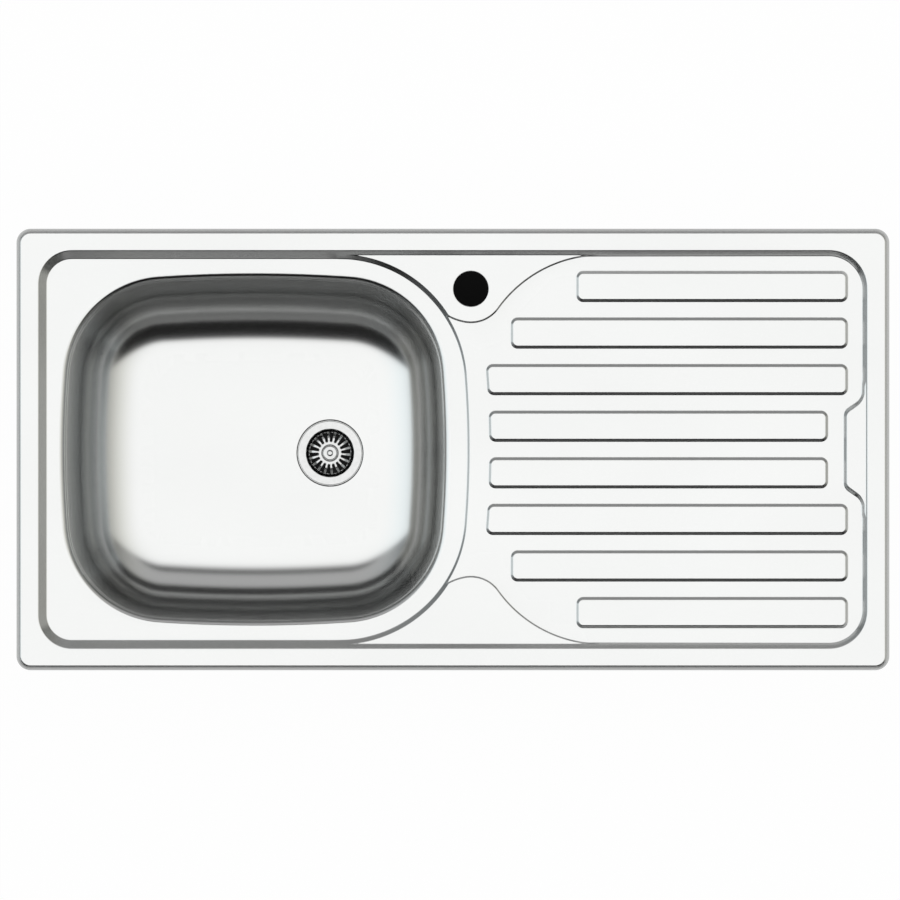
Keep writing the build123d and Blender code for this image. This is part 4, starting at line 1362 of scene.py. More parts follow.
def plug_corners():
    """Section of the rubber stopper, whose lip stands out at the top."""
    low, high = node_box("plug_seal")
    r, chamfer = (high[0] - low[0]) / 2 + PLUG_LIP, 1.2
    return [
        (STEM_R, low[2], 0.1), (r - chamfer, low[2], 0.6), (r, low[2] + chamfer, 0.4),
        (r, high[2], 0.5), (STEM_R, high[2], 0.3),
    ]


BODY_COLLAR_R = 31.0
BODY_BORE_R = WASTE_HOLE_R
BODY_TOP = DISH_Z - SHEET - 1.5
BODY_SHOULDER = BODY_TOP - 22.0
SPIGOT_R = 23.9
SPIGOT_IN = 20.9
SPIGOT_THREAD = 1.05
SPIGOT_LENGTH = 26.0
THREAD_PITCH = 2.309
THREAD_LENGTH = 20.8
INSERT_TOP = WELL_Z - 8.0
INSERT_SEAT_R = 5.5
SPIDER_HUB_R = 8.0
SPIDER_DEPTH = 10.0
SPIDER_ARM = 3.0


def body_mesh(paint):
    """Moulded waste body: collar, chamber, outlet with its thread, and the spider inside."""
    chamber_r = BODY_BORE_R + 3.0
    end = BODY_SHOULDER - SPIGOT_LENGTH
    core = SPIGOT_R - SPIGOT_THREAD
    axis = (WASTE_X, WASTE_Y)
    shell = Shell()
    turn_on(shell, [
        (BODY_BORE_R, BODY_TOP, 0.3), (BODY_BORE_R, BODY_SHOULDER + 6.0, 2.0),
        (SPIGOT_IN, BODY_SHOULDER + 3.0, 2.0), (SPIGOT_IN, end, 0.4), (core, end, 0.6),
        (core, BODY_SHOULDER - 1.4, 0.4), (SPIGOT_R, BODY_SHOULDER - 0.6, 0.3),
        (SPIGOT_R, BODY_SHOULDER, 0.8), (chamber_r, BODY_SHOULDER + 3.0, 2.0),
        (chamber_r, BODY_TOP - 4.5, 0.8), (BODY_COLLAR_R, BODY_TOP - 3.0, 0.5),
        (BODY_COLLAR_R, BODY_TOP, 0.5),
    ], axis, count=128)
    foot = INSERT_TOP - SPIDER_DEPTH
    turn_on(shell, [
        (INSERT_SEAT_R, foot, 0.2), (SPIDER_HUB_R, foot, 0.5), (SPIDER_HUB_R, INSERT_TOP, 0.5),
        (INSERT_SEAT_R, INSERT_TOP, 0.2),
    ], axis, count=48)
    mesh = shell.mesh("waste_body_form")
    work = bmesh.new()
    work.from_mesh(mesh)
    for turn in (60, 180, 300):
        add_spider_arm(work, foot, math.radians(turn))
    work.to_mesh(mesh)
    work.free()
    sizes = {
        "Crest radius": SPIGOT_R * MM, "Depth": SPIGOT_THREAD * MM, "Pitch": THREAD_PITCH * MM,
        "Length": THREAD_LENGTH * MM, "Foot": (WASTE_X * MM, WASTE_Y * MM, (end + 1.5) * MM),
    }
    return creased(screw_threads("outlet_thread", mesh, sizes, paint), 40.0)


def add_spider_arm(work, foot, turn):
    """One arm of the spider, from its hub into the wall of the outlet."""
    low_x, high_x = SPIDER_HUB_R - 0.7, SPIGOT_IN + 0.6
    arm = bmesh.ops.create_cube(work, size=1.0)["verts"]
    size = ((high_x - low_x) * MM, SPIDER_ARM * MM, (SPIDER_DEPTH - 0.6) * MM)
    middle = ((low_x + high_x) / 2 * MM, 0, (foot + SPIDER_DEPTH / 2) * MM)
    bmesh.ops.scale(work, vec=size, verts=arm)
    bmesh.ops.translate(work, vec=middle, verts=arm)
    bmesh.ops.rotate(work, cent=(0, 0, 0), matrix=Matrix.Rotation(turn, 3, "Z"), verts=arm)
    bmesh.ops.translate(work, vec=(WASTE_X * MM, WASTE_Y * MM, 0), verts=arm)
    edges = list({edge for vert in arm for edge in vert.link_edges})
    bmesh.ops.bevel(work, geom=edges, offset=0.4 * MM, segments=2, affect="EDGES", profile=0.5)


# --- pieces carried over from the CAD --------------------------------------------------
SAME_PLACE = 0.001
FLAT_ANGLE = math.radians(0.5)
EDGE_ANGLE = math.radians(30.0)


def finished(node, width):
    """A copy of a CAD node with its facets merged and its edges slightly rounded."""
    work = bmesh.new()
    work.from_mesh(frame["nodes"][node].data)
    bmesh.ops.remove_doubles(work, verts=work.verts, dist=SAME_PLACE * MM)
    bmesh.ops.dissolve_limit(work, angle_limit=FLAT_ANGLE, verts=work.verts, edges=work.edges)
    mesh = bpy.data.meshes.new(node + "_form")
    work.to_mesh(mesh)
    work.free()
    mesh.shade_smooth()
    holder = bpy.data.objects.new(node + "_form", mesh)
    bpy.context.scene.collection.objects.link(holder)
    bevel = holder.modifiers.new("edges", "BEVEL")
    bevel.width = width * MM
    bevel.segments = 2
    bevel.limit_method = "ANGLE"
    bevel.angle_limit = EDGE_ANGLE
    bevel.use_clamp_overlap = True
    bevel.harden_normals = True
    depsgraph = bpy.context.evaluated_depsgraph_get()
    made = bpy.data.meshes.new_from_object(holder.evaluated_get(depsgraph))
    bpy.data.objects.remove(holder)
    return made


HEAD_R = 4.0
HEAD_DEPTH = 2.57
HEAD_EDGE = 0.7
DRIVER_SLOT = 0.6
DRIVER_DEPTH = 1.25
SCREW_CREST_R = 2.46
SCREW_CORE_R = 2.06
SCREW_PITCH = 0.8
SCREW_THREAD = 18.2


def clip_screw_mesh(node, paint):
    """Clamping screw with its head, slot, shank and thread."""
    low, high = node_box(node)
    centre = ((low[0] + high[0]) / 2, (low[1] + high[1]) / 2)
    slot_top, head_top = low[2] + 1.2, low[2] + HEAD_DEPTH
    shell = Shell()
    turn_on(shell, [
        (0, slot_top, 0), (HEAD_R - 0.9, slot_top, 0), (HEAD_R, slot_top, 0.1),
        (HEAD_R, head_top, 0.3), (SCREW_CREST_R, head_top, 0.1),
        (SCREW_CREST_R, head_top + 3.2, 0.15), (SCREW_CORE_R, head_top + 3.6, 0.1),
        (SCREW_CORE_R, high[2] - 0.5, 0.2), (SCREW_CORE_R - 0.5, high[2], 0.1), (0, high[2], 0),
    ], centre, count=40)
    for side in (1, -1):
        add_head_half(shell, centre, low[2], side)
    mesh = shell.mesh(node + "_form")
    sizes = {
        "Crest radius": SCREW_CREST_R * MM, "Depth": (SCREW_CREST_R - SCREW_CORE_R - 0.02) * MM,
        "Pitch": SCREW_PITCH * MM, "Length": SCREW_THREAD * MM,
        "Foot": (centre[0] * MM, centre[1] * MM, (head_top + 3.9) * MM),
    }
    return creased(screw_threads(node + "_thread", mesh, sizes, paint))


def add_head_half(shell, centre, foot, side):
    """Half of the screw's head beside its driver slot."""
    section = [(HEAD_R, DRIVER_DEPTH), (HEAD_R, HEAD_EDGE), (HEAD_R - 0.2, 0.25)]
    rows = []
    for r, z in (*section, (HEAD_R - HEAD_EDGE, 0.0)):
        inset = math.asin(DRIVER_SLOT / r)
        turns = np.linspace(inset, math.pi - inset, 15)
        row = np.stack([r * np.cos(turns), r * np.sin(turns)], axis=1)
        rows.append(at_height(np.array(centre) + side * row, foot + z))
    shell.rows(rows, flip=True)
    shell.caps(rows[-1], rows[0])


# --- rim seal and sound pad ------------------------------------------------------------
FOAM_WIDTH = 4.6
FOAM_CORNER_R = 6.7
FOAM_EDGE_R = 0.9
FOAM_STEP = 5.0
FOAM_UNEVEN = (0.5 * MM, 0.5 * MM, 0.1 * MM)


def foam_strip(paint):
    """Closed foam strip that follows the rim, a little uneven as cut foam is."""
    low, high = node_box("rim_seal")
    g = Growth("rim_foam", {
        "Length": (high[0] - low[0] - FOAM_WIDTH) * MM,
        "Width": (high[1] - low[1] - FOAM_WIDTH) * MM, "Corner": FOAM_CORNER_R * MM,
        "Strip width": (FOAM_WIDTH - 0.3) * MM, "Strip height": (high[2] - low[2] - 0.1) * MM,
        "Centre": (0.0, 0.0, (low[2] + high[2]) / 2 * MM),
    })
    sockets = {"Width": g.given("Length"), "Height": g.given("Width")}
    path = g.add("GeometryNodeCurvePrimitiveQuadrilateral", {}, sockets)
    bent = {"Curve": path, "Count": 8, "Limit Radius": True, "Radius": g.given("Corner")}
    path = g.add("GeometryNodeFilletCurve", {"mode": "POLY"}, bent)
    sockets = {"Curve": path, "Length": FOAM_STEP * MM}
    path = g.add("GeometryNodeResampleCurve", {"mode": "LENGTH"}, sockets)
    path = g.add("GeometryNodeSetCurveNormal", {"mode": "Z_UP"}, {0: path})
    sockets = {"Width": g.given("Strip width"), "Height": g.given("Strip height")}
    section = g.add("GeometryNodeCurvePrimitiveQuadrilateral", {}, sockets)
    bent = {"Curve": section, "Count": 3, "Limit Radius": True, "Radius": FOAM_EDGE_R * MM}
    section = g.add("GeometryNodeFilletCurve", {"mode": "POLY"}, bent)
    swept = g.add("GeometryNodeCurveToMesh", {}, {"Curve": path, "Profile Curve": section})
    place = g.add("GeometryNodeInputPosition")
    noise = {"Vector": place, "Scale": 55.0, "Detail": 1.0}
    wander = g.add("ShaderNodeTexNoise", {"noise_dimensions": "3D"}, noise, 1)
    for operation, other in (("SUBTRACT", (0.5, 0.5, 0.5)), ("MULTIPLY", FOAM_UNEVEN)):
        wander = g.add("ShaderNodeVectorMath", {"operation": operation}, {0: wander, 1: other})
    uneven = g.add("GeometryNodeSetPosition", {}, {"Geometry": swept, "Offset": wander})
    blank = bpy.data.meshes.new("rim_foam_blank")
    return creased(g.grow(g.moved(uneven, g.given("Centre")), blank, paint), 50.0)


SOUND_PAD_R = 12.0
WAFFLE_PITCH = 7.2
WAFFLE_LUMP = 3.6
WAFFLE_RELIEF = 0.55
WAFFLE_MARGIN = 4.0


def embossed_pad(paint):
    """Bitumen sheet with a waffle pressed into its underside."""
    low, high = node_box("sound_pad")
    middle = ((low[0] + high[0]) / 2, (low[1] + high[1]) / 2)
    half = ((high[0] - low[0]) / 2, (high[1] - low[1]) / 2)
    face = low[2] + WAFFLE_RELIEF
    outline = rounded_rectangle(*half, SOUND_PAD_R, SOUND_PAD_R)
    section = (
        (0.5, face), (0.1, face + 0.25), (0.0, face + 0.6), (0.0, high[2] - 0.3), (0.3, high[2]),
    )
    rows = [at_height(shifted(outline, -inset) + middle, z) for inset, z in section]
    shell = Shell()
    shell.rows(rows)
    shell.caps(rows[0], rows[-1])
    mesh = shell.mesh("sound_pad_slab")
    columns, lines = (int((2 * side - 6) // WAFFLE_PITCH) for side in half)
    g = Growth("pad_waffle", {
        "Columns": columns, "Rows": lines, "Length": (columns - 1) * WAFFLE_PITCH * MM,
        "Width": (lines - 1) * WAFFLE_PITCH * MM, "Relief": WAFFLE_RELIEF * MM,
        "Lump": WAFFLE_LUMP * MM, "Place": (middle[0] * MM, middle[1] * MM, face * MM),
    })
    sockets = {
        "Size X": g.given("Length"), "Size Y": g.given("Width"),
        "Vertices X": g.given("Columns"), "Vertices Y": g.given("Rows"),
    }
    grid = g.add("GeometryNodeMeshGrid", {}, sockets)
    x, y, _ = g.parts(g.add("GeometryNodeInputPosition"))
    past = [
        (part.size() - (side - SOUND_PAD_R - WAFFLE_MARGIN) * MM).most(0.0)
        for part, side in zip((x, y), half)
    ]
    compared = {0: past[0] ** 2.0 + past[1] ** 2.0, 1: (SOUND_PAD_R * MM) ** 2}
    settings = {"data_type": "FLOAT", "operation": "GREATER_THAN"}
    far = g.add("FunctionNodeCompare", settings, compared)
    cut = {"Geometry": grid, "Selection": far}
    kept = g.add("GeometryNodeDeleteGeometry", {"domain": "POINT"}, cut)
    lump = g.add("GeometryNodeMeshCone", {"fill_type": "NGON"}, {
        "Vertices": 4, "Radius Top": g.given("Lump") * 0.72, "Radius Bottom": g.given("Lump"),
        "Depth": g.given("Relief") * 1.2,
    })
    sockets = {"Points": kept, "Instance": lump, "Rotation": (math.pi, 0.0, math.pi / 4)}
    lumps = g.add("GeometryNodeInstanceOnPoints", {}, sockets)
    raised = g.moved(lumps, g.upward(g.given("Relief") * 0.2))
    waffle = g.moved(raised, g.given("Place"))
    return creased(g.grow(g.joined(g.given("Geometry"), waffle), mesh, paint), 25.0)


# --- materials -------------------------------------------------------------------------
def grey(level):
    """An even grey for a colour socket."""
    return (level, level, level, 1.0)


def tinted(colour, share=1.0, lift=0.0):
    """A colour for a socket, made darker or lighter by a share of it."""
    return tuple(min(1.0, c * share + lift) for c in colour) + (1.0,)


class Finish(Tree):
    """A material whose colour, roughness and relief are worked out by nodes."""

    def __init__(self, name, **fixed):
        self.material = bpy.data.materials.new("studio_" + name)
        self.material.use_nodes = True
        super().__init__(self.material.node_tree)
        self.shader = self.tree.nodes["Principled BSDF"]
        for key, value in fixed.items():
            self.shader.inputs[key.replace("_", " ")].default_value = value

    def place(self, scale):
        """Object coordinates stretched by one scale, or by one for each axis, in waves a metre."""
        source = self.add("ShaderNodeTexCoord", output="Object")
        scale = scale if isinstance(scale, tuple) else (scale,) * 3
        return self.add("ShaderNodeMapping", {}, {"Vector": source, "Scale": scale})

    def noise(self, scale, detail=2.0, rough=0.5):
        """Noise from 0 to 1, with its waves in the piece's own metres."""
        sockets = {"Vector": self.place(scale), "Scale": 1.0, "Detail": detail, "Roughness": rough}
        return self.add("ShaderNodeTexNoise", {}, sockets)

    def cells(self, scale, output="Distance"):
        """Cells round scattered points: how far the nearest is, or a colour for each cell."""
        sockets = {"Vector": self.place(scale), "Scale": 1.0}
        return self.add("ShaderNodeTexVoronoi", {"feature": "F1"}, sockets, output)

    def set(self, name, wire):
        """Feeds one of the shader's sockets."""
        self.tree.links.new(wire.socket, self.shader.inputs[name])

    def relief(self, height, depth, strength):
        """Bumps from a height of 0 to 1, `depth` metres high."""
        sockets = {"Strength": strength, "Distance": depth, "Height": height}
        self.set("Normal", self.add("ShaderNodeBump", {}, sockets))


# Depths in metres between which the bowl's wall turns duller and takes a painted shade.
DULL_AND_SHADED_FROM = (0.008, 0.03)
DULL_AND_SHADED_TO = (0.126, 0.147)


def satin_steel(colours):
    """Satin stainless sheet: fine grain along the drainer and a faint cloud of tone.

    The drawn wall of the bowl is duller and darker, between two depths below the rim's underside: a
    rougher finish, and a painted shade in its base colour.
    """
    f = Finish("satin_stainless", Metallic=1.0, Specular_IOR_Level=0.5)
    cloud = f.noise((5.0, 7.0, 7.0), detail=3.0)
    grain = f.noise((90.0, 5200.0, 5200.0), detail=3.0, rough=0.6)
    speck = f.noise(2600.0, detail=1.0)
    tone = cloud * 0.55 + grain * 0.45
    depth = -f.parts(f.place(1.0))[2]
    drawn = depth.limited(*DULL_AND_SHADED_FROM) * (1.0 - depth.limited(*DULL_AND_SHADED_TO))
    rolled = f.mix(tone.limited(0.3, 0.7), tinted(colours.steel, 0.96), tinted(colours.steel))
    # Painted shade: the bowl's wall is given a darker base colour.
    f.set("Base Color", f.mix(drawn, rolled, tinted(colours.steel, 0.8)))
    f.set("Roughness", 0.165 + cloud * 0.03 + grain * 0.04 + drawn * 0.04)
    f.relief(grain * 0.7 + speck * 0.3, 0.000002, 0.3)
    return f.material


def polished_steel(colours):
    """Polished stainless: bright, with faint wiping marks."""
    base = colours.polished
    f = Finish("polished_stainless", Metallic=1.0)
    wipe = f.noise(260.0, detail=4.0, rough=0.65)
    f.set("Base Color", f.mix(wipe.limited(0.35, 0.65), tinted(base, 0.94), tinted(base)))
    f.set("Roughness", 0.12 + wipe * 0.07)
    f.relief(f.noise(3200.0, detail=1.0), 0.000004, 0.3)
    return f.material


def zinc(colours):
    """Zinc plate: pale spangles, each with its own tone."""
    base = colours.zinc
    f = Finish("zinc_steel", Metallic=1.0)
    tone = f.add("ShaderNodeSeparateColor", {}, {0: f.cells(420.0, "Color")})
    cloud = f.noise(60.0, detail=3.0)
    f.set("Base Color", f.mix(tone * 0.5 + cloud * 0.5, tinted(base, 0.8), tinted(base)))
    f.set("Roughness", 0.3 + tone * 0.1 + cloud * 0.08)
    f.relief(f.noise(900.0), 0.00002, 0.4)
    return f.material


def foam(colours):
    """Closed-cell foam: dark, with small open pits where it was cut, and painted shade that darkens
    the inside of the pits.
    """
    base = colours.foam
    f = Finish("foam", Specular_IOR_Level=0.25)
    pit_and_shade = f.cells(1100.0).limited(0.1, 0.5)
    cloud = f.noise(120.0)
    # Painted shade: the base colour darkens towards the middle of each pit.
    f.set("Base Color", f.mix(pit_and_shade * 0.8 + cloud * 0.2, tinted(base, 0.45), tinted(base)))
    f.set("Roughness", 0.86 + cloud * 0.1)
    f.relief(pit_and_shade, 0.0003, 0.6)
    return f.material


def bitumen(colours):
    """Bitumen sheet: dull black with a dusting of talc and a grainy skin."""
    base = colours.bitumen
    f = Finish("bitumen", Specular_IOR_Level=0.3)
    dust = f.noise(70.0, detail=5.0, rough=0.7)
    f.set("Base Color", f.mix(dust.limited(0.5, 0.8) * 0.7, tinted(base), tinted(base, 1.9)))
    f.set("Roughness", 0.72 + dust * 0.2)
    f.relief(f.noise(2400.0), 0.0001, 0.6)
    return f.material


def rubber(colours):
    """Seal rubber: nearly black, with a faint bloom."""
    base = colours.rubber
    f = Finish("seal_rubber", Specular_IOR_Level=0.2)
    bloom = f.noise(180.0, detail=4.0)
    f.set("Base Color", f.mix(bloom.limited(0.45, 0.75), tinted(base), tinted(base, 1.7, 0.01)))
    f.set("Roughness", 0.5 + bloom * 0.25)
    f.relief(f.noise(3000.0), 0.00003, 0.5)
    return f.material


def plastic(colours):
    """Moulded polypropylene: satin, with faint flow and a spark-eroded skin."""
    base = colours.plastic
    f = Finish("waste_plastic", Specular_IOR_Level=0.45)
    flow = f.noise((40.0, 40.0, 14.0), detail=3.0)
    skin = f.noise(2600.0)
    f.set("Base Color", f.mix(flow.limited(0.35, 0.65), tinted(base, 0.93), tinted(base)))
    f.set("Roughness", 0.38 + flow * 0.1 + skin * 0.06)
    f.relief(skin, 0.00002, 0.4)
    return f.material


def brass(colours):
    """Turned brass with fine tool rings."""
    base = colours.brass
    f = Finish("brass", Metallic=1.0)
    tarnish = f.noise(130.0, detail=4.0)
    dark = (base[0] * 0.8, base[1] * 0.74, base[2] * 0.66, 1.0)
    f.set("Base Color", f.mix(tarnish.limited(0.4, 0.7), tinted(base), dark))
    f.set("Roughness", 0.24 + tarnish * 0.16)
    f.relief(f.noise((300.0, 300.0, 5200.0)), 0.00002, 0.4)
    return f.material


# --- properties ------------------------------------------------------------------------
def fold_size(name, description, default, low, high):
    """A small length in metres."""
    return FloatProperty(
        name=name, description=description, default=default, min=low, max=high,
        unit="LENGTH", precision=4,
    )


def colour(name, description, default):
    """A colour that can be picked in the panel."""
    return FloatVectorProperty(
        name=name, description=description, default=default, subtype="COLOR", min=0.0, max=1.0,
    )


class SinkSizes(bpy.types.PropertyGroup):
    """Sizes of the pressing that change its look and not its fit."""

    crest_fold: fold_size(
        "Crest fold", "Radius where a flat turns down into a wall", 0.0022, 0.0009, 0.003,
    )
    root_fold: fold_size(
        "Root fold", "Radius where a wall meets the flat below it", 0.0017, 0.0005, 0.003,
    )
    rib_fold: fold_size(
        "Rib fold", "Radius of the small folds of ribs and tap ledge", 0.0012, 0.0008, 0.0018,
    )
    rib_height: fold_size(
        "Rib height", "How far the ribs stand above the drainer floor", 0.0022, 0.001, 0.0025,
    )
    rib_count: IntProperty(
        name="Ribs", description="Number of ribs across the drainer", default=8, min=8, max=8,
    )


class SinkColours(bpy.types.PropertyGroup):
    """Colours of the finishes."""

    steel: colour("Satin steel", "Colour of the satin stainless sheet", (0.57, 0.575, 0.57))
    polished: colour("Polished steel", "Colour of the polished pieces", (0.52, 0.524, 0.52))
    zinc: colour("Zinc plate", "Colour of rails, clips and clamping screws", (0.62, 0.64, 0.66))
    foam: colour("Foam", "Colour of the foam strip under the rim", (0.035, 0.035, 0.038))
    bitumen: colour("Bitumen", "Colour of the sound-deadening pad", (0.04, 0.04, 0.042))
    rubber: colour("Rubber", "Colour of the seals and of the stopper", (0.018, 0.018, 0.018))
    plastic: colour("Waste plastic", "Colour of the moulded waste body", (0.74, 0.74, 0.71))
    brass: colour("Brass", "Colour of the insert in the waste body", (0.72, 0.5, 0.2))
    floor: colour("Floor", "Colour of the studio floor", (0.92, 0.92, 0.92))


def material(name):
    """A finish by its slot's name, made the first time that it is asked for."""
    found = bpy.data.materials.get("studio_" + name)
    return found or FINISHES[name](bpy.context.scene.sink_colours)


FINISHES = {
    "satin_stainless": satin_steel,
    "polished_stainless": polished_steel,
    "zinc_steel": zinc,
    "foam": foam,
    "bitumen": bitumen,
    "seal_rubber": rubber,
    "waste_plastic": plastic,
    "brass": brass,
}
SLOT_OF = {part["node"]: part["material_slot"] for part in frame["record"]["subparts"]}
BODIES = frame["record"]["behaviour"]["bodies"]
BODY_OF = {node: body for body, nodes in BODIES.items() for node in nodes}


def set_out(name, mesh, node):
    """Places a finished mesh for one CAD node, with that node's body and finish."""
    slot = SLOT_OF[node]
    piece = bpy.data.objects.new(name, mesh)
    bpy.context.scene.collection.objects.link(piece)
    mesh.materials.clear()
    mesh.materials.append(material(slot))
    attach(piece, BODY_OF[node])
    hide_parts(node)


# --- operators -------------------------------------------------------------------------
class SINK_OT_deck(bpy.types.Operator):
    """Press the deck: rim, recess, ledges, ribbed drainer and the lip of the bowl"""

    bl_idname = "sink.deck"
    bl_label = "Deck"

    def execute(self, context):
        mesh = deck_mesh(context.scene.sink_sizes)
        if not mesh.polygons:
            raise RuntimeError("the deck came out empty")
        set_out("deck_pressing", mesh, "deck")
        return {"FINISHED"}


class SINK_OT_bowl(bpy.types.Operator):
    """Draw the bowl with its sunken waste seat"""

    bl_idname = "sink.bowl"
    bl_label = "Bowl"

    def execute(self, context):
        set_out("bowl_drawing", bowl_mesh(), "bowl")
        return {"FINISHED"}


class SINK_OT_seal(bpy.types.Operator):
    """Lay the foam strip that seals the rim to the worktop"""

    bl_idname = "sink.seal"
    bl_label = "Rim seal"

    def execute(self, context):
        set_out("rim_foam_strip", foam_strip(material("foam")), "rim_seal")
        return {"FINISHED"}


class SINK_OT_pad(bpy.types.Operator):
    """Stick the sound-deadening pad under the bowl"""

    bl_idname = "sink.pad"
    bl_label = "Sound pad"

    def execute(self, context):
        set_out("sound_deadening_pad", embossed_pad(material("bitumen")), "sound_pad")
        return {"FINISHED"}


class SINK_OT_rails(bpy.types.Operator):
    """Weld the mounting rails under the rim"""

    bl_idname = "sink.rails"
    bl_label = "Rails"

    def execute(self, context):
        for side in ("front", "back", "left", "right"):
            set_out(f"mounting_rail_{side}", finished(f"rail_{side}", 0.15), f"rail_{side}")
        return {"FINISHED"}


class SINK_OT_clips(bpy.types.Operator):
    """Hang the clips on the rails, each with its claw and clamping screw"""

    bl_idname = "sink.clips"
    bl_label = "Clips"

    def execute(self, context):
        paint = material("zinc_steel")
        for node in sorted(BODY_OF):
            if node.startswith("hanger_"):
                set_out(node + "_sheet", finished(node, 0.22), node)
            elif node.startswith("claw_"):
                set_out(node + "_jaw", finished(node, 0.3), node)
            elif node.startswith("clip_screw_"):
                set_out(node + "_threaded", clip_screw_mesh(node, paint), node)
        return {"FINISHED"}


class SINK_OT_waste(bpy.types.Operator):
    """Fit the waste: flange and cup, seals, moulded body, insert and centre bolt"""

    bl_idname = "sink.waste"
    bl_label = "Waste"

    def execute(self, context):
        set_out("flange_and_cup", flange_mesh(material("polished_stainless")), "waste_flange")
        set_out("outlet_body", body_mesh(material("waste_plastic")), "waste_body")
        edges = {"flange_seal": 0.2, "body_seal": 0.3, "body_insert": 0.2, "centre_bolt": 0.25}
        for node, width in edges.items():
            set_out(node + "_piece", finished(node, width), node)
        return {"FINISHED"}


class SINK_OT_strainer(bpy.types.Operator):
    """Press the slotted strainer and turn its knob and stopper"""

    bl_idname = "sink.strainer"
    bl_label = "Strainer"

    def execute(self, context):
        set_out("strainer_crown", crown_mesh(material("polished_stainless")), "strainer")
        set_out("strainer_knob_turned", turned("knob_form", knob_corners()), "strainer_knob")
        set_out("stopper_disc", turned("plug_form", plug_corners()), "plug_seal")
        return {"FINISHED"}


class SINK_OT_stage(bpy.types.Operator):
    """Set up the floor, the light and the camera straight above the sink"""

    bl_idname = "sink.stage"
    bl_label = "Stage"

    def execute(self, context):
        floor_object(context.scene.sink_colours)
        studio_world()
        camera_above()
        context.scene.view_settings.view_transform = "Standard"
        return {"FINISHED"}


FLOOR_HALF = 12.0
FLOOR_GAP = 0.002
# Fade of the floor's painted shadow, a dark disc below the tap hole, in metres from its middle.
SHADOW_DISC_EDGE = (0.022, 0.027)
FLOOR_GLOW = 0.97


def shows_background(tree):
    """1 for camera, mirror and glass rays, which see the plain background."""
    kinds = ("Is Camera Ray", "Is Glossy Ray", "Is Transmission Ray")
    camera, glossy, glass = (tree.add("ShaderNodeLightPath", output=kind) for kind in kinds)
    return camera.most(glossy.most(glass))


def floor_object(colours):
    """Pale floor that the camera sees as white, with a painted shadow as a dark disc below the tap
    hole, clear from below.
    """
    z = CAD_BOX[0][2] - FLOOR_GAP
    mesh = bpy.data.meshes.new("studio_floor")
    corners = [(x * FLOOR_HALF, y * FLOOR_HALF, z) for x, y in ((-1, -1), (1, -1), (1, 1), (-1, 1))]
    mesh.from_pydata(corners, [], [(0, 1, 2, 3)])
    floor = bpy.data.objects.new("studio_floor", mesh)
    bpy.context.scene.collection.objects.link(floor)
    f = Finish("floor", Roughness=0.9, Specular_IOR_Level=0.0)
    x, y, _ = f.parts(f.add("ShaderNodeTexCoord", output="Object"))
    away = ((x - TAP_X * MM) ** 2.0 + (y - TAP_Y * MM) ** 2.0) ** 0.5
    # Painted shadow: the floor is painted nearly black in a disc below the tap hole, and does not
    # glow there.
    under = 1.0 - away.limited(*SHADOW_DISC_EDGE)
    f.set("Base Color", f.mix(under, tinted(colours.floor), grey(0.01)))
    glow = f.add("ShaderNodeEmission", {}, {"Color": grey(1.0), "Strength": 1.0})
    share = shows_background(f) * (1.0 - under) * FLOOR_GLOW
    painted = Wire(f, f.shader.outputs["BSDF"])
    surface = f.add("ShaderNodeMixShader", {}, {0: share, 1: painted, 2: glow})
    below = f.add("ShaderNodeNewGeometry", output="Backfacing")
    clear = f.add("ShaderNodeBsdfTransparent")
    both = f.add("ShaderNodeMixShader", {}, {0: below, 1: surface, 2: clear})
    f.tree.links.new(both.socket, f.tree.nodes["Material Output"].inputs["Surface"])
    mesh.materials.append(f.material)


# The bank overhead, on a plane 1 above the sink: its front and back edge, how its level
# falls off to the right and to the left (what it falls to, and how fast), and its level.
BANK_FRONT = (-0.6, -0.42)
BANK_BACK = (0.48, 0.7)
BANK_RIGHT = (0.33, 0.85)
BANK_LEFT = (0.25, 0.05)
BANK_LEVEL = 1.32
# Each screen: how squarely a direction has to face it, the height at which it ends, and its
# level. The back screen is brighter in its upper part.
SIDE_EDGE = (0.8, 0.97)
SIDE_TOP = (0.35, 0.6)
RIGHT_LEVEL = 0.42
LEFT_LEVEL = 0.30
FRONT_EDGE = (0.93, 0.99)
FRONT_TOP = (0.06, 0.3)
FRONT_LEVEL = 0.22
BACK_EDGE = (-0.1, 0.9)
BACK_TOP = (0.72, 0.8)
BACK_LEVEL = 0.26
BACK_BRIGHTER = (0.3, 0.42)
# The low band, which runs round the room except at the front.
BAND_FRONT = (0.74, 0.92)
BAND_FOOT = (0.22, 0.25)
BAND_TOP = (0.35, 0.41)
BAND_LEVEL = 0.34
WORLD_GAIN = 1.25
ROOM_LEVEL = 0.012
TINT_EDGE = (0.15, 0.95)
WARM_RIGHT = (1.0, 0.995, 0.93, 1.0)
COOL_LEFT = (0.94, 1.0, 1.02, 1.0)


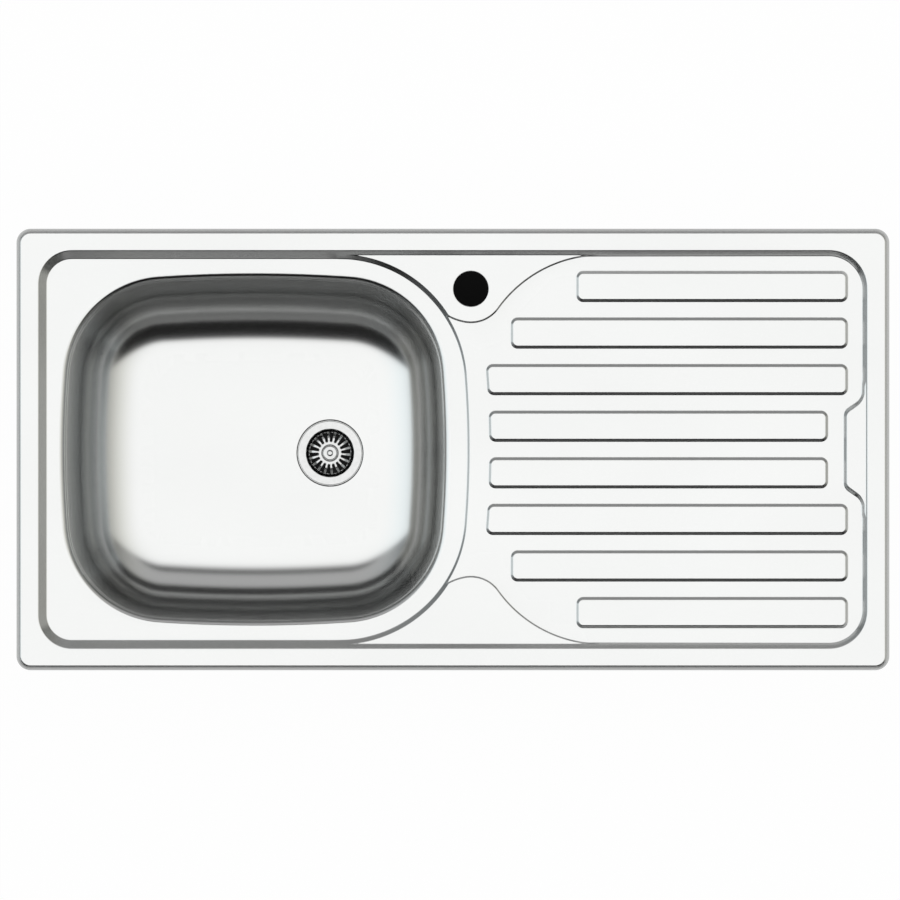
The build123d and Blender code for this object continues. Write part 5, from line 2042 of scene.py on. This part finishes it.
def studio_world():
    """A long bank of light overhead, set in a dark room with a soft screen on each side."""
    world = bpy.data.worlds.new("studio")
    bpy.context.scene.world = world
    world.use_nodes = True
    t = Tree(world.node_tree)
    x, y, z = t.parts(t.add("ShaderNodeTexCoord", output="Generated"))
    height = z.most(0.02)
    u, v = x / height, y / height

    def falling(side, rest, rate):
        """Share of the bank's level, from 1 overhead down to a rest far out on one side."""
        return rest + (1.0 - rest) / (1.0 + side.most(0.0) ** 2.0 * rate)

    def screen(facing, edge, top, level):
        """Level of a screen that stands on one side and fades out at its edge and its top."""
        return facing.limited(*edge) * (1.0 - z.limited(*top)) * level

    across = v.limited(*BANK_FRONT) * (1.0 - v.limited(*BANK_BACK))
    bank = across * falling(u, *BANK_RIGHT) * falling(-u, *BANK_LEFT) * BANK_LEVEL
    flat = (x ** 2.0 + y ** 2.0 + 0.0001) ** 0.5
    ax, ay = x / flat, y / flat
    right = screen(ax, SIDE_EDGE, SIDE_TOP, RIGHT_LEVEL)
    left = screen(-ax, SIDE_EDGE, SIDE_TOP, LEFT_LEVEL)
    front = screen(-ay, FRONT_EDGE, FRONT_TOP, FRONT_LEVEL)
    back = screen(ay, BACK_EDGE, BACK_TOP, BACK_LEVEL + z.limited(*BACK_BRIGHTER) * BACK_LEVEL)
    away = 1.0 - (-ay).limited(*BAND_FRONT)
    band = away * z.limited(*BAND_FOOT) * (1.0 - z.limited(*BAND_TOP)) * BAND_LEVEL
    level = bank.most(right.most(left)).most(front.most(back)).most(band)
    warm = t.mix(x.limited(*TINT_EDGE), grey(1.0), WARM_RIGHT)
    tint = t.mix((-x).limited(*TINT_EDGE), warm, COOL_LEFT)
    background = world.node_tree.nodes["Background"]
    t.tree.links.new(tint.socket, background.inputs["Color"])
    t.tree.links.new((level * WORLD_GAIN + ROOM_LEVEL).socket, background.inputs["Strength"])


# The photograph's frame, in metres: its width in the rim's plane, and its middle.
VIEW_WIDTH = 0.8865
VIEW_CENTRE = (-0.0029, -0.0005)
CAMERA_HEIGHT = 14.0
SENSOR = 36.0


def camera_above():
    """Long lens straight above, so that the rim's plane keeps its true proportions."""
    data = bpy.data.cameras.new("camera")
    camera = bpy.data.objects.new("camera", data)
    bpy.context.scene.collection.objects.link(camera)
    data.sensor_width = SENSOR
    data.lens = SENSOR * CAMERA_HEIGHT / VIEW_WIDTH
    data.clip_start, data.clip_end = 1.0, 40.0
    camera.location = (*VIEW_CENTRE, RIM_Z * MM + CAMERA_HEIGHT)
    bpy.context.scene.camera = camera


class SINK_PT_panel(bpy.types.Panel):
    """Sizes, colours and the steps that build the sink"""

    bl_idname = "SINK_PT_panel"
    bl_label = "Sink"
    bl_space_type = "VIEW_3D"
    bl_region_type = "UI"
    bl_category = "Sink"

    def draw(self, context):
        for group in (context.scene.sink_sizes, context.scene.sink_colours):
            for name in group.bl_rna.properties.keys():
                if name not in ("rna_type", "name"):
                    self.layout.prop(group, name)
        for step in STEPS:
            self.layout.operator(step.bl_idname)


STEPS = (
    SINK_OT_stage, SINK_OT_deck, SINK_OT_bowl, SINK_OT_seal, SINK_OT_pad, SINK_OT_rails,
    SINK_OT_clips, SINK_OT_waste, SINK_OT_strainer,
)
CLASSES = (SinkSizes, SinkColours, *STEPS, SINK_PT_panel)


def register():
    for cls in CLASSES:
        bpy.utils.register_class(cls)
    bpy.types.Scene.sink_sizes = PointerProperty(type=SinkSizes)
    bpy.types.Scene.sink_colours = PointerProperty(type=SinkColours)


def unregister():
    del bpy.types.Scene.sink_colours
    del bpy.types.Scene.sink_sizes
    for cls in reversed(CLASSES):
        bpy.utils.unregister_class(cls)


def main():
    """Builds the sink step by step."""
    register()
    for step in STEPS:
        group, name = step.bl_idname.split(".")
        getattr(getattr(bpy.ops, group), name)()


if __name__ == "__main__":
    main()
